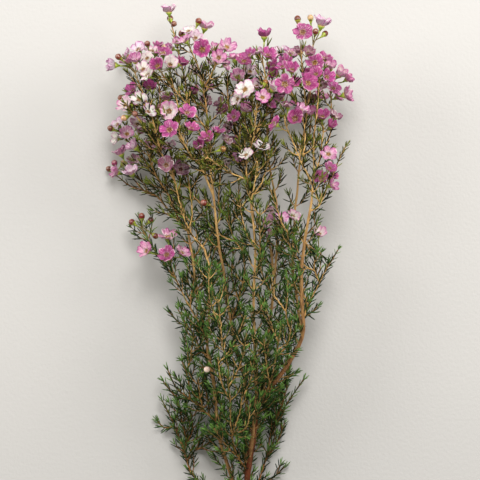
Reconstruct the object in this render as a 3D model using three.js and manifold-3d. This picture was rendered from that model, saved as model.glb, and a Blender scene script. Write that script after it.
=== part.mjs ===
// A waxflower stem, cut and laid down: one woody stem that forks low, green twigs with needle
// leaves, and clusters of blooms and buds at the ends of the twigs. Millimetres, +Z up.

import * as THREE from "three";
import Module from "manifold-3d";

const wasm = await Module();
wasm.setup();

// The layout is drawn on a flat grid seen from above: columns run to the right, rows run from
// the tips down to the cut end. Heights and radii are in millimetres.
const GRID_STEP = 1.1;
const GRID_MIDDLE = 240;
const GRID_FOOT = 562;

// Joining.
const GAP = 0.3;
const SHORTEST_EDGE = 0.02;
const TINY = 1e-9;
const STEEP = 0.9;

// Limbs of thick wood have more sides than those of thin wood.
const LIMB_SIDES = 6;
const THIN_LIMB_RADIUS = 1.7;
const THIN_LIMB_SIDES = 5;

// Twigs, and the whorls of needles along them.
const TWIG_SIDES = 3;
const TWIG_ROOT_RADIUS = 1.1;
const TWIG_TIP_RADIUS = 0.75;
const NEEDLE_LENGTH = 13.5;
const NEEDLE_LENGTH_SPREAD = 0.2;
const NEEDLE_RADIUS = 0.58;
const NEEDLE_LEAN = 42;
const NEEDLE_LEAN_SPREAD = 0.19;
const NEEDLE_CLEARANCE = 0.7;
const NEEDLE_LOWEST = 0.4;
const WHORL_LENGTH = 1.3;
const WHORL_MARGIN = 2;
const WHORL_TWIST = 0.7;
const WHORL_TWIST_SPREAD = 0.5;
const LEAFY_SPACING = 27;
const FLOWERING_SPACING = 60;
const SPACING_SPREAD = 0.2;
const FIRST_WHORL = 0.6;

// The short stub beyond a twig's end that the stalks of a cluster grow from.
const HUB_LENGTH = 10;
const HUB_RADIUS = 1.6;
const HUB_TAPER = 0.8;
const STALK_RADIUS = 0.42;
const STALK_TOP_RADIUS = 0.9;
const STALK_SIDES = 3;
const FIRST_STALK = 0.25;
const STALK_SPAN = 0.65;

// A bloom: its reach is half its width, and cup sizes are shares of that reach.
const PETALS = 5;
const CUP_DEPTH = 0.56;
const CUP_WIDTH = 0.34;
const CUP_FOOT = 1.6;
const CUP_WALL = 0.5;
const CUP_HOLLOW = 0.9;
const PETAL_THICKNESS = 0.7;
const PETAL_UNDERSIDE = [0.9, 0.1];
const SMALL_BLOOM = 19;
// A petal's edge: degrees from its middle, and share of the bloom's reach outwards and up.
const ROUNDED_PETAL = [[-17, 1, 0.12], [17, 1, 0.12], [36, 0.52, 0.02]];
const POINTED_PETAL = [[0, 1, 0.13], [36, 0.52, 0.02]];

const BUD_RADIUS = 3.3;
const BUD_HEIGHT = 6.8;
const BUD_BELLY = 0.6;

// Blooms keep clear of each other and of the twigs by moving up or down, a little in each pass.
const SPREAD_PASSES = 60;
const BLOOM_SHARE = 1.02;
const BLOOM_CLEARANCE = 1;
const BLOOM_STEP = 0.3;
const TWIG_SHARE = 0.42;
const TWIG_CLEARANCE = 2.2;
const TWIG_STEP = 0.5;
const LOWEST_BLOOM = 9;
const BLOOM_GUARD_DEPTH = 0.3;
const BLOOM_GUARD_RADIUS = 0.46;

// Whole numbers that the draws are mixed with, and that keep one kind of draw apart from another.
const MIXERS = [73856093, 19349663, 2246822519, 3266489917];
const DRAW_RANGE = 4294967296;
const PATH_DRAWS = 10;
const LENGTH_DRAWS = 20;
const WHORL_DRAWS = 100;
const TWIST_DRAWS = 300;

// Limbs of the woody stem: [column, row, height, radius].
const LIMBS = [
  [
    [243, 562, 5.1, 5.0], [244, 538, 7, 4.7], [246, 510, 13, 4.2], [248, 478, 22, 3.4], [251, 455, 29, 3.0],
    [257, 416, 40, 2.8], [263, 397, 45, 2.7], [279, 377, 53, 2.5], [302, 337, 62, 2.3], [301, 295, 70, 2.0],
    [302, 260, 76, 1.8], [307, 225, 84, 1.5], [311, 200, 90, 1.3],
  ],
  [
    [255, 428, 36, 2.0], [264, 386, 34, 1.9], [268, 347, 32, 1.7], [271, 315, 33, 1.5], [275, 279, 35, 1.4],
    [277, 250, 38, 1.3], [277, 207, 46, 1.1], [272, 178, 52, 1.0],
  ],
  [[275, 279, 35, 1.3], [268, 239, 34, 1.2], [254, 216, 36, 1.1], [250, 190, 40, 1.0]],
  [
    [250, 463, 27, 2.0], [256, 400, 54, 1.8], [255, 347, 64, 1.6], [254, 300, 74, 1.4], [255, 249, 84, 1.3],
    [251, 202, 88, 1.1],
  ],
  [
    [247, 490, 18, 2.1], [246, 440, 14, 1.9], [246, 385, 20, 1.8], [239, 362, 26, 1.7], [231, 321, 38, 1.6],
    [224, 277, 56, 1.5], [218, 235, 74, 1.3], [213, 186, 90, 1.2], [209, 150, 90, 1.0], [207, 116, 84, 0.9],
  ],
  [[214, 196, 87, 1.1], [206, 177, 94, 1.0], [200, 165, 98, 0.9]],
  [
    [245, 522, 10, 2.4], [232, 482, 20, 2.1], [221, 445, 30, 2.0], [215, 400, 40, 1.8], [212, 375, 46, 1.7],
    [207, 345, 54, 1.6], [209, 310, 62, 1.5], [210, 270, 68, 1.3], [205, 249, 70, 1.2],
  ],
  [[207, 345, 54, 1.4], [199, 300, 58, 1.3], [192, 255, 56, 1.2], [183, 210, 62, 1.1], [173, 177, 72, 1.0]],
  [[302, 337, 62, 1.6], [297, 300, 60, 1.5], [293, 262, 56, 1.3], [296, 201, 54, 1.2], [302, 148, 55, 1.0]],
  [[244, 535, 8, 2.0], [226, 512, 7, 1.8], [205, 494, 8, 1.6], [190, 474, 9, 1.3]],
];

// Green twigs. A path runs over [column, row, height] and may end at a named bloom cluster.
// The first path of a twig starts on a limb and the others start on a path of the same twig.
const TWIGS = [
  {
    name: "flowering_twig_01",
    paths: [
      [[205, 249, 70], [192, 235, 67], [180, 222, 58], [169, 211, 48], [155, 195, 36], [131, 186, 18], "c37"],
      [[155, 195, 36], [144, 191, 32], "c23"],
      [[192, 235, 67], [183, 214, 76], "c24"],
      [[180, 222, 58], [168, 195, 50], [156, 175, 52], "c20"],
      [[168, 195, 50], [152, 170, 44], "c19"],
      [[190, 230, 69], [192, 212, 74], [191, 197, 78], [187, 174, 78]],
    ],
  },
  {
    name: "flowering_twig_02",
    paths: [
      [[173, 177, 72], [160, 152, 80], "c18"],
      [[160, 152, 80], [157, 126, 68], "c17"],
      [[160, 152, 80], [153, 118, 92], "c05"],
      [[157, 126, 68], [160, 92, 52], "c04"],
    ],
  },
  {
    name: "flowering_twig_03",
    paths: [
      [[200, 165, 98], [192, 158, 112], "c22"],
      [[192, 158, 112], [184, 146, 104], "c21"],
      [[181, 142, 104], [180, 126, 100], [178, 104, 93], [172, 85, 89]],
    ],
  },
  {
    name: "flowering_twig_04",
    paths: [
      [[207, 116, 84], [204, 90, 90], [198, 68, 88], "c02"],
      [[204, 90, 90], [210, 80, 102], "c03"],
      [[206, 108, 86], [202, 106, 76], "c07"],
    ],
  },
  {
    name: "flowering_twig_05",
    paths: [
      [[208, 132, 87], [190, 108, 94], [176, 92, 96], "c06"],
      [[190, 108, 94], [184, 76, 74], "c01"],
    ],
  },
  {
    name: "flowering_twig_06",
    paths: [
      [[251, 202, 88], [254, 188, 93], "c31"],
      [[251, 202, 88], [246, 165, 92], [253, 140, 102], "c26"],
      [[246, 165, 92], [240, 148, 84], "c27"],
      [[253, 140, 102], [268, 108, 96], "c09"],
      [[248, 180, 90], [228, 172, 96], "c25"],
      [[253, 194, 91], [260, 186, 90], [265, 172, 90], [269, 154, 92]],
      [[241, 141, 80], [236, 131, 68], [229, 109, 61], [227, 86, 57]],
    ],
  },
  {
    name: "flowering_twig_07",
    paths: [
      [[250, 190, 40], [247, 178, 46], "c30"],
      [[250, 190, 40], [254, 150, 36], [250, 116, 30], "c08"],
    ],
  },
  {
    name: "flowering_twig_08",
    paths: [[[272, 178, 52], [267, 138, 58], [275, 108, 66], "c10"]],
  },
  {
    name: "flowering_twig_09",
    paths: [
      [[277, 252, 38], [281, 248, 48], "c33"],
      [[280, 249, 45], [292, 244, 47], [308, 233, 47], [318, 221, 47]],
    ],
  },
  {
    name: "flowering_twig_10",
    paths: [
      [[302, 148, 55], [306, 116, 66], [304, 88, 84], "c11"],
      [[302, 148, 55], [309, 138, 32], "c16"],
      [[306, 116, 66], [311, 82, 76], "c12"],
    ],
  },
  {
    name: "flowering_twig_11",
    paths: [
      [[311, 200, 90], [313, 176, 92], [313, 140, 102], [316, 114, 101], "c13"],
      [[313, 176, 92], [319, 160, 86], "c29"],
      [[319, 160, 86], [331, 128, 66], "c14"],
      [[313, 188, 91], [302, 166, 112], "c28"],
      [[302, 166, 112], [304, 128, 106], "c15"],
    ],
  },
  {
    name: "flowering_twig_12",
    paths: [
      [[207, 342, 55], [196, 318, 56], [185, 298, 54], [177, 282, 53], "c35"],
      [[177, 282, 53], [158, 256, 40], [149, 242, 34], "c36"],
      [[190, 307, 55], [192, 292, 52], [195, 270, 49], [194, 253, 49]],
      [[194, 256, 49], [205, 243, 55], [216, 225, 59], [224, 202, 62]],
      [[219, 216, 60], [219, 198, 55], [220, 177, 50], [222, 158, 48]],
      [[191, 297, 53], [201, 285, 54], [210, 266, 49], [215, 247, 47]],
    ],
  },
  {
    name: "flowering_twig_13",
    paths: [[[305, 240, 80], [311, 252, 70], "c34"]],
  },
  {
    name: "leafy_shoot_01",
    paths: [
      [[190, 474, 9], [182, 450, 11], [174, 428, 14], [161, 402, 16]],
      [[182, 450, 11], [192, 434, 15], [190, 412, 18]],
      [[174, 428, 14], [163, 430, 9], [157, 424, 7]],
      [[186, 462, 10], [197, 450, 9], [204, 432, 8]],
      [[195, 452, 9], [207, 447, 10], [220, 427, 13], [224, 414, 16]],
      [[187, 442, 13], [182, 426, 15], [179, 411, 18], [176, 395, 20]],
      [[224, 415, 16], [220, 405, 20], [215, 387, 24], [211, 371, 23]],
    ],
  },
  {
    name: "leafy_shoot_02",
    paths: [
      [[218, 424, 35], [204, 412, 36], [190, 400, 36], [176, 388, 34], [167, 370, 32]],
      [[190, 400, 36], [177, 398, 26], [163, 382, 24]],
      [[204, 412, 36], [200, 396, 46], [198, 378, 52]],
      [[190, 400, 36], [188, 380, 44], [182, 362, 50]],
      [[210, 417, 36], [208, 404, 34], [205, 388, 33], [202, 366, 27]],
      [[186, 374, 46], [190, 359, 49], [193, 339, 53], [194, 324, 57]],
    ],
  },
  {
    name: "leafy_shoot_03",
    paths: [
      [[210, 362, 49], [202, 352, 48], [188, 328, 46], [178, 310, 44]],
      [[202, 352, 48], [193, 356, 42], [184, 344, 38]],
      [[188, 328, 46], [177, 322, 38], [169, 313, 34]],
    ],
  },
  {
    name: "leafy_shoot_04",
    paths: [
      [[248, 474, 23], [238, 458, 40], [232, 436, 54], [230, 400, 70], [228, 364, 78]],
      [[232, 436, 54], [240, 412, 66], [242, 386, 74]],
      [[230, 400, 70], [221, 380, 76], [218, 356, 82]],
      [[238, 458, 40], [226, 446, 50], [214, 428, 60]],
      [[232, 436, 54], [247, 426, 64], [250, 402, 74]],
      [[219, 363, 80], [227, 352, 82], [237, 336, 81], [246, 315, 81]],
      [[224, 356, 81], [222, 339, 88], [220, 318, 97], [219, 299, 104]],
      [[221, 327, 93], [214, 313, 88], [209, 289, 86], [209, 268, 84]],
      [[229, 385, 73], [236, 374, 78], [242, 355, 83], [247, 332, 88]],
      [[241, 396, 71], [250, 382, 73], [254, 362, 75], [257, 342, 80]],
    ],
  },
  {
    name: "leafy_shoot_05",
    paths: [
      [[262, 399, 45], [270, 384, 60], [276, 356, 72], [280, 326, 78]],
      [[270, 384, 60], [266, 362, 76], [264, 338, 86]],
      [[276, 356, 72], [287, 344, 72], [291, 320, 76]],
      [[289, 331, 74], [286, 315, 75], [286, 299, 75], [288, 280, 80]],
      [[286, 310, 75], [275, 297, 74], [266, 281, 75], [258, 261, 82]],
      [[278, 340, 75], [272, 329, 70], [263, 311, 71], [258, 293, 68]],
      [[260, 267, 80], [260, 251, 87], [259, 229, 93], [260, 208, 90]],
      [[260, 246, 88], [248, 236, 89], [242, 218, 91], [239, 200, 93]],
    ],
  },
  {
    name: "leafy_shoot_06",
    paths: [
      [[247, 505, 14], [258, 486, 11], [266, 462, 10], [272, 433, 12], [288, 404, 16], [304, 381, 20]],
      [[266, 462, 10], [278, 444, 9], [286, 425, 9]],
      [[258, 486, 11], [272, 482, 8], [285, 470, 7]],
      [[272, 433, 12], [281, 410, 26], [288, 386, 34]],
      [[272, 433, 12], [267, 410, 13], [262, 386, 14]],
      [[269, 418, 13], [274, 408, 17], [281, 394, 18], [290, 373, 20]],
      [[289, 376, 20], [289, 364, 17], [288, 347, 14], [290, 326, 9]],
    ],
  },
  {
    name: "leafy_shoot_07",
    paths: [
      [[302, 322, 65], [309, 302, 64], [319, 283, 61], [328, 267, 57], [338, 250, 54]],
      [[304, 316, 65], [310, 314, 57], [318, 307, 50]],
      [[319, 283, 61], [314, 268, 68], [317, 252, 74]],
      [[315, 271, 67], [305, 266, 70], [290, 247, 75], [287, 229, 78]],
      [[308, 305, 64], [304, 296, 64], [295, 277, 62], [289, 259, 64]],
      [[288, 234, 77], [281, 221, 87], [275, 204, 93], [269, 187, 97]],
    ],
  },
  {
    name: "leafy_shoot_08",
    paths: [
      [[309, 212, 87], [318, 206, 86], [330, 180, 80], [338, 163, 76], [346, 146, 72]],
      [[318, 206, 86], "c32"],
    ],
  },
  {
    name: "leafy_shoot_09",
    paths: [
      [[231, 321, 38], [239, 300, 52], [244, 272, 60], [243, 244, 66]],
      [[239, 300, 52], [232, 276, 42], [233, 250, 38]],
      [[243, 252, 64], [234, 238, 62], [230, 221, 62], [228, 198, 62]],
      [[236, 241, 62], [222, 236, 62], [207, 221, 65], [199, 200, 68]],
      [[231, 224, 62], [237, 214, 65], [239, 198, 69], [239, 184, 72]],
      [[232, 270, 41], [223, 259, 36], [213, 242, 29], [204, 223, 29]],
      [[201, 205, 67], [194, 197, 68], [184, 178, 69], [178, 158, 66]],
    ],
  },
];

// Bloom clusters: the end of their twig, and around it
// blooms: [column, row, height above the twig's end, width, tint, turn, rise]
// buds: [column, row, height above the twig's end, tint].
// A bloom faces turn degrees to the right of the tips' direction and rise degrees up.
const CLUSTERS = {
  c01: {
    tip: [173, 31, 60],
    blooms: [[169, 12, 4, 16, "lilac", -5, 10]],
    buds: [[174, 24, 4, "copper"], [170, 18, -2, "copper"]],
  },
  c02: {
    tip: [192, 54, 85],
    blooms: [
      [205, 29, 2, 17, "blush", 15, 15], [189, 33, 8, 15, "white", -10, 30],
      [196, 41, 20, 14, "lilac", 10, 50], [186, 43, 14, 15, "pink", -40, 20],
      [179, 43, -6, 12, "pink", -60, 10], [172, 49, -8, 13, "pink", -70, 15],
    ],
    buds: [[199, 23, 6, "copper"], [182, 35, 4, "copper"]],
  },
  c03: {
    tip: [213, 74, 108],
    blooms: [
      [203, 53, 12, 19, "magenta", -10, 75], [216, 51, 2, 16, "pink", 10, 40],
      [227, 50, 4, 17, "pink", 30, 45], [219, 61, 14, 15, "pink", 10, 70],
      [225, 67, -4, 13, "pink", 60, 30], [214, 66, -6, 14, "white", 0, 25],
    ],
    buds: [],
  },
  c04: {
    tip: [152, 64, 34],
    blooms: [
      [138, 49, 4, 17, "lilac", -35, 35], [126, 55, -6, 16, "lilac", -60, 10],
      [151, 50, 2, 16, "blush", 0, 30], [157, 45, -10, 12, "magenta", 10, 20],
      [147, 58, 10, 14, "white", -20, 50],
    ],
    buds: [[147, 43, 8, "copper"], [164, 46, 2, "cream"]],
  },
  c05: {
    tip: [137, 78, 78],
    blooms: [
      [129, 63, 0, 17, "pink", -20, 10], [136, 62, 14, 15, "pink", -10, 40],
      [115, 66, 0, 16, "lilac", -85, 10], [144, 71, 16, 15, "white", 0, 50],
    ],
    buds: [[119, 58, 4, "copper"]],
  },
  c06: {
    tip: [166, 79, 98],
    blooms: [
      [164, 55, -2, 17, "magenta", 0, 30], [159, 69, 12, 17, "magenta", -20, 60],
      [171, 67, 8, 16, "blush", 15, 50], [149, 77, 2, 16, "white", -50, 30],
      [181, 65, 0, 14, "magenta", 40, 20],
    ],
    buds: [],
  },
  c07: {
    tip: [200, 105, 66],
    blooms: [
      [196, 72, -6, 15, "white", -5, 40], [208, 88, 0, 13, "pink", 20, 30],
      [195, 93, 2, 13, "magenta", -30, 40], [206, 101, 6, 13, "faded", 20, 50],
    ],
    buds: [],
  },
  c08: {
    tip: [243, 81, 17],
    blooms: [
      [235, 56, -8, 16, "pink", -10, 15], [244, 60, 12, 16, "magenta", 0, 50],
      [238, 76, 10, 16, "pink", -20, 60], [250, 70, 0, 15, "lilac", 20, 50],
    ],
    buds: [],
  },
  c09: {
    tip: [263, 66, 94],
    blooms: [
      [264, 38, 0, 17, "magenta", 0, 10], [250, 57, 2, 15, "magenta", -40, 30],
      [258, 56, -12, 15, "blush", -5, 15], [268, 58, 10, 16, "magenta", 20, 40],
    ],
    buds: [],
  },
  c10: {
    tip: [283, 74, 70],
    blooms: [
      [280, 53, 0, 17, "lilac", -5, 30], [291, 54, 2, 16, "pink", 15, 25],
      [274, 58, -10, 13, "magenta", -25, 30], [276, 75, 12, 15, "magenta", -60, 40],
      [285, 63, 6, 14, "magenta", 0, 45], [273, 67, 0, 14, "magenta", -40, 40],
    ],
    buds: [],
  },
  c11: {
    tip: [301, 60, 100],
    blooms: [
      [302, 35, 10, 19, "magenta", 0, 60], [307, 56, 12, 14, "faded", 20, 50],
      [299, 54, -2, 13, "faded", -10, 30],
    ],
    buds: [[297, 21, 2, "copper"]],
  },
  c12: {
    tip: [312, 52, 78],
    blooms: [[321, 26, 0, 19, "lilac", 15, 15]],
    buds: [[310, 19, 6, "cream"], [315, 33, 8, "copper"], [325, 34, -4, "copper"]],
  },
  c13: {
    tip: [318, 87, 98],
    blooms: [
      [314, 65, 6, 18, "magenta", 0, 65], [324, 60, -4, 16, "magenta", 20, 30],
      [315, 77, 16, 14, "magenta", -10, 50], [326, 79, 4, 15, "magenta", 40, 50],
      [320, 87, -4, 13, "faded", 10, 60], [309, 76, 4, 14, "magenta", -30, 45],
    ],
    buds: [],
  },
  c14: {
    tip: [331, 93, 56],
    blooms: [
      [330, 68, 0, 16, "pink", 0, 30], [339, 75, 8, 17, "blush", 40, 30],
      [333, 89, 16, 15, "magenta", 20, 50], [345, 95, 0, 17, "pink", 75, 10],
      [337, 97, -4, 12, "pink", 60, 20], [347, 79, -2, 13, "pink", 55, 20],
    ],
    buds: [],
  },
  c15: {
    tip: [292, 97, 114],
    blooms: [
      [291, 73, 4, 16, "magenta", 0, 40], [282, 69, -8, 14, "magenta", -20, 30],
      [284, 87, 12, 19, "magenta", -10, 80], [307, 86, 8, 18, "magenta", 45, 60],
      [293, 84, 4, 14, "magenta", 10, 50], [281, 100, -14, 13, "pink", -40, 30],
    ],
    buds: [],
  },
  c16: {
    tip: [312, 117, 14],
    blooms: [
      [322, 96, 0, 15, "pink", 20, 30], [313, 99, -4, 14, "maroon", 0, 50],
      [303, 108, -2, 13, "pink", -50, 30], [306, 114, 6, 13, "pink", -30, 40],
    ],
    buds: [],
  },
  c17: {
    tip: [142, 103, 60],
    blooms: [[133, 91, 0, 15, "magenta", -50, 40], [149, 88, 6, 15, "magenta", 10, 40]],
    buds: [[121, 98, 2, "copper"], [130, 108, 0, "copper"]],
  },
  c18: {
    tip: [140, 121, 86],
    blooms: [
      [126, 106, 2, 17, "blush", -50, 40], [140, 101, 4, 16, "white", -10, 50],
      [149, 113, 10, 15, "white", 40, 40],
    ],
    buds: [[136, 115, 14, "copper"], [125, 119, 4, "cream"]],
  },
  c19: {
    tip: [131, 142, 40],
    blooms: [
      [117, 124, 0, 15, "lilac", -50, 30], [137, 124, 4, 16, "lilac", 10, 50],
      [127, 134, 12, 15, "pink", -20, 60], [116, 138, -8, 13, "white", -80, 30],
      [139, 131, -6, 13, "faded", 20, 40],
    ],
    buds: [[110, 128, 4, "copper"]],
  },
  c20: {
    tip: [149, 156, 58],
    blooms: [
      [154, 128, -2, 16, "white", 5, 40], [151, 145, 12, 14, "pink", 10, 50],
      [135, 147, 2, 17, "lilac", -45, 15],
    ],
    buds: [[159, 150, 4, "red"]],
  },
  c21: {
    tip: [175, 130, 104],
    blooms: [[170, 113, 8, 19, "blush", -10, 75], [167, 100, -18, 15, "faded", -5, 20]],
    buds: [[161, 108, -6, "maroon"]],
  },
  c22: {
    tip: [184, 142, 124],
    blooms: [
      [171, 132, 6, 19, "magenta", -30, 60], [188, 115, -4, 18, "magenta", 10, 40],
      [192, 131, 8, 16, "magenta", 20, 25],
    ],
    buds: [],
  },
  c23: {
    tip: [131, 176, 26],
    blooms: [
      [120, 153, -2, 16, "pink", -25, 10], [133, 160, 6, 15, "faded", 0, 40],
      [131, 173, 15, 16, "lilac", -25, 30], [116, 172, -6, 14, "pink", -70, 20],
    ],
    buds: [],
  },
  c24: {
    tip: [175, 181, 84],
    blooms: [
      [170, 148, -4, 14, "blush", -10, 30], [167, 166, 8, 17, "faded", -20, 70],
      [181, 170, 2, 16, "faded", 30, 65],
    ],
    buds: [],
  },
  c25: {
    tip: [211, 161, 102],
    blooms: [
      [207, 141, 2, 16, "magenta", -10, 40], [218, 133, -4, 15, "magenta", 15, 20],
      [201, 148, 6, 14, "magenta", -40, 50], [203, 158, -2, 12, "white", -60, 30],
      [226, 141, -6, 13, "faded", 40, 30],
    ],
    buds: [[223, 150, 2, "gold"]],
  },
  c26: {
    tip: [256, 114, 110],
    blooms: [
      [245, 92, 10, 19, "blush", -30, 55], [238, 101, 2, 15, "white", -60, 40],
      [273, 91, 0, 17, "blush", 40, 30], [262, 100, 14, 15, "pink", 10, 60],
      [257, 88, -8, 15, "blush", 5, 45], [269, 106, -6, 12, "magenta", 50, 40],
    ],
    buds: [[265, 84, -4, "gold"]],
  },
  c27: {
    tip: [240, 129, 74],
    blooms: [
      [246, 111, 0, 16, "pink", 10, 40], [224, 112, 0, 14, "maroon", -40, 30],
      [234, 118, 10, 14, "magenta", -30, 50], [228, 128, -4, 14, "faded", -50, 40],
      [220, 104, 0, 13, "faded", -40, 20],
    ],
    buds: [],
  },
  c28: {
    tip: [288, 133, 120],
    blooms: [
      [287, 108, -10, 15, "pink", 0, 20], [294, 121, 8, 19, "magenta", 10, 75],
      [275, 126, 2, 16, "magenta", -60, 20], [300, 112, -4, 14, "pink", 30, 30],
    ],
    buds: [],
  },
  c29: {
    tip: [322, 137, 80],
    blooms: [
      [322, 118, 0, 16, "magenta", 5, 40], [334, 117, -4, 14, "faded", 35, 20],
      [312, 114, 2, 13, "pink", -25, 35], [330, 127, 2, 13, "magenta", 30, 40],
    ],
    buds: [],
  },
  c30: {
    tip: [242, 164, 52],
    blooms: [
      [234, 143, -2, 15, "pink", -15, 30], [251, 140, -4, 15, "pink", 15, 30],
      [239, 157, 10, 13, "pink", -20, 60], [229, 163, 2, 12, "white", -60, 30],
    ],
    buds: [],
  },
  c31: {
    tip: [256, 172, 97],
    blooms: [[246, 156, 0, 15, "white", -25, 40], [261, 149, 4, 17, "white", 10, 30]],
    buds: [],
  },
  c32: {
    tip: [323, 188, 84],
    blooms: [
      [328, 155, 0, 17, "pink", 10, 50], [329, 169, 10, 13, "magenta", 30, 50],
      [320, 178, 2, 15, "magenta", -10, 60], [331, 186, 2, 13, "pink", 60, 30],
      [331, 176, -6, 13, "magenta", 50, 30],
    ],
    buds: [],
  },
  c33: {
    tip: [283, 241, 58],
    blooms: [
      [272, 211, -4, 15, "faded", -20, 30], [270, 223, 10, 15, "pink", -50, 40],
      [281, 219, 14, 15, "pink", 0, 50], [271, 234, -4, 13, "pink", -80, 20],
      [293, 216, 0, 15, "blush", 30, 30],
    ],
    buds: [],
  },
  c34: {
    tip: [315, 252, 62],
    blooms: [[319, 234, 2, 15, "blush", 10, 40]],
    buds: [],
  },
  c35: {
    tip: [170, 264, 53],
    blooms: [
      [168, 237, 0, 19, "pink", -5, 30], [147, 251, 4, 17, "pink", -60, 40],
      [167, 255, 16, 17, "magenta", -20, 60], [182, 253, 6, 16, "pink", 30, 30],
    ],
    buds: [],
  },
  c36: {
    tip: [144, 233, 30],
    blooms: [],
    buds: [
      [131, 222, -2, "red"], [141, 216, 4, "red"], [150, 220, -2, "copper"],
      [155, 236, 4, "copper"],
    ],
  },
  c37: {
    tip: [118, 177, 7],
    blooms: [],
    buds: [[107, 168, 0, "copper"], [113, 162, 6, "magenta"], [122, 162, -2, "cream"]],
  },
};

const BARK = 0x8a5c36;
const BARK_ROUGHNESS = 0.8;
const NEEDLE = 0x3f5f34;
const TWIG = 0x5a7040;
const TWIG_ROUGHNESS = 0.6;
const PETAL_ROUGHNESS = 0.5;
const TINTS = {
  white: 0xe9dfe0,
  blush: 0xe3c3d6,
  lilac: 0xd0a3cc,
  pink: 0xc678b4,
  magenta: 0xa8438f,
  faded: 0x94718c,
  maroon: 0x7a2f4c,
  copper: 0xb5683c,
  cream: 0xded3a8,
  gold: 0xc99a3a,
  red: 0xa8402f,
};

function vector(column, row, height) {
  return new THREE.Vector3((column - GRID_MIDDLE) * GRID_STEP, (GRID_FOOT - row) * GRID_STEP, height);
}

function pathPoints(path) {
  return path.map((stop) => vector(...(typeof stop === "string" ? CLUSTERS[stop].tip : stop)));
}

// A draw between 0 and 1 that depends only on its two whole numbers.
function draw(first, second) {
  let mixed = (Math.imul(first + 1, MIXERS[0]) ^ Math.imul(second + 1, MIXERS[1])) >>> 0;
  mixed = Math.imul(mixed ^ (mixed >>> 15), MIXERS[2]) >>> 0;
  mixed = Math.imul(mixed ^ (mixed >>> 13), MIXERS[3]) >>> 0;
  return ((mixed ^ (mixed >>> 16)) >>> 0) / DRAW_RANGE;
}

// The same draw, as a factor round 1.
function varied(spread, first, second) {
  return 1 + spread * (2 * draw(first, second) - 1);
}

function facing(turn, rise) {
  const side = THREE.MathUtils.degToRad(turn);
  const up = THREE.MathUtils.degToRad(rise);
  return new THREE.Vector3(Math.sin(side) * Math.cos(up), Math.cos(side) * Math.cos(up), Math.sin(up));
}

// Two directions at right angles to the axis, turned so that they go round it to the left.
function crossDirections(axis) {
  const helper = Math.abs(axis.z) < STEEP ? new THREE.Vector3(0, 0, 1) : new THREE.Vector3(0, 1, 0);
  const first = new THREE.Vector3().crossVectors(helper, axis).normalize();
  return [first, new THREE.Vector3().crossVectors(axis, first)];
}

// The same pair of directions, tipped over to a new axis with no twist.
function carryDirections(directions, axis) {
  const first = directions[0].clone().addScaledVector(axis, -axis.dot(directions[0])).normalize();
  return [first, new THREE.Vector3().crossVectors(axis, first)];
}

function aroundAxis(centre, directions, turn, radius) {
  return centre
    .clone()
    .addScaledVector(directions[0], Math.cos(turn) * radius)
    .addScaledVector(directions[1], Math.sin(turn) * radius);
}

function ring(centre, directions, radius, sides) {
  const turns = Array.from({ length: sides }, (unused, side) => (side / sides) * 2 * Math.PI);
  return turns.map((turn) => aroundAxis(centre, directions, turn, radius));
}

// Joins two rings of any two lengths with triangles, in step with their share of a full turn.
function stitch(index, lower, upper) {
  const lowerSteps = lower.count > 1 ? lower.count : 0;
  const upperSteps = upper.count > 1 ? upper.count : 0;
  let low = 0;
  let high = 0;
  while (low < lowerSteps || high < upperSteps) {
    const lowPoint = lower.start + (low % lower.count);
    const highPoint = upper.start + (high % upper.count);
    const lowIsNext = low < lowerSteps && (low + 1) / lowerSteps <= (high + 1) / upperSteps;
    if (high === upperSteps || lowIsNext) {
      low += 1;
      index.push(lowPoint, lower.start + (low % lower.count), highPoint);
    } else {
      high += 1;
      index.push(lowPoint, upper.start + (high % upper.count), highPoint);
    }
  }
}

// Joins two rings of the same length, with a spike on each side that has a tip.
function stitchSpikes(index, lower, upper, tipPoints) {
  for (let side = 0; side < lower.count; side++) {
    const next = (side + 1) % lower.count;
    const corners = [lower.start + side, lower.start + next, upper.start + next, upper.start + side];
    const tip = tipPoints[side];
    if (tip === null) {
      index.push(corners[0], corners[1], corners[2], corners[0], corners[2], corners[3]);
    } else {
      corners.forEach((corner, place) => index.push(corner, corners[(place + 1) % corners.length], tip));
    }
  }
}

function solidFromTriangles(positions, index) {
  const vertProperties = new Float32Array(positions);
  const triVerts = new Uint32Array(index);
  return new wasm.Manifold(new wasm.Mesh({ numProp: 3, vertProperties, triVerts }));
}

// A closed solid through a row of rings. A ring of one point is a sharp end. A level's spikes are
// the tips, one for each side, of the needles that stand between that ring and the one before.
function skin(rings, spikes = {}) {
  const positions = [];
  const index = [];
  const addPoint = (point) => positions.push(point.x, point.y, point.z) / 3 - 1;
  const spans = rings.map((points) => ({ start: points.map(addPoint)[0], count: points.length }));
  const first = spans[0];
  const last = spans[spans.length - 1];
  for (let corner = 1; corner < first.count - 1; corner++) {
    index.push(first.start, first.start + corner + 1, first.start + corner);
  }
  for (let level = 1; level < spans.length; level++) {
    if (spikes[level]) {
      const tipPoints = spikes[level].map((tip) => (tip === null ? null : addPoint(tip)));
      stitchSpikes(index, spans[level - 1], spans[level], tipPoints);
    } else {
      stitch(index, spans[level - 1], spans[level]);
    }
  }
  for (let corner = 1; corner < last.count - 1; corner++) {
    index.push(last.start, last.start + corner, last.start + corner + 1);
  }
  return solidFromTriangles(positions, index);
}

function tube(points, radii, sides) {
  let directions = null;
  const rings = points.map((point, place) => {
    const before = points[Math.max(place - 1, 0)];
    const after = points[Math.min(place + 1, points.length - 1)];
    const axis = after.clone().sub(before).normalize();
    directions = directions === null ? crossDirections(axis) : carryDirections(directions, axis);
    return ring(point, directions, radii[place], sides);
  });
  return skin(rings);
}

function fuse(solids) {
  return solids.reduce((whole, solid) => whole.add(solid));
}

// The loose scraps and sealed hollows that joining leaves are dropped: the largest body stays.
function largestBody(solid) {
  return solid.decompose().reduce((best, body) => (body.volume() > best.volume() ? body : best));
}

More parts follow.
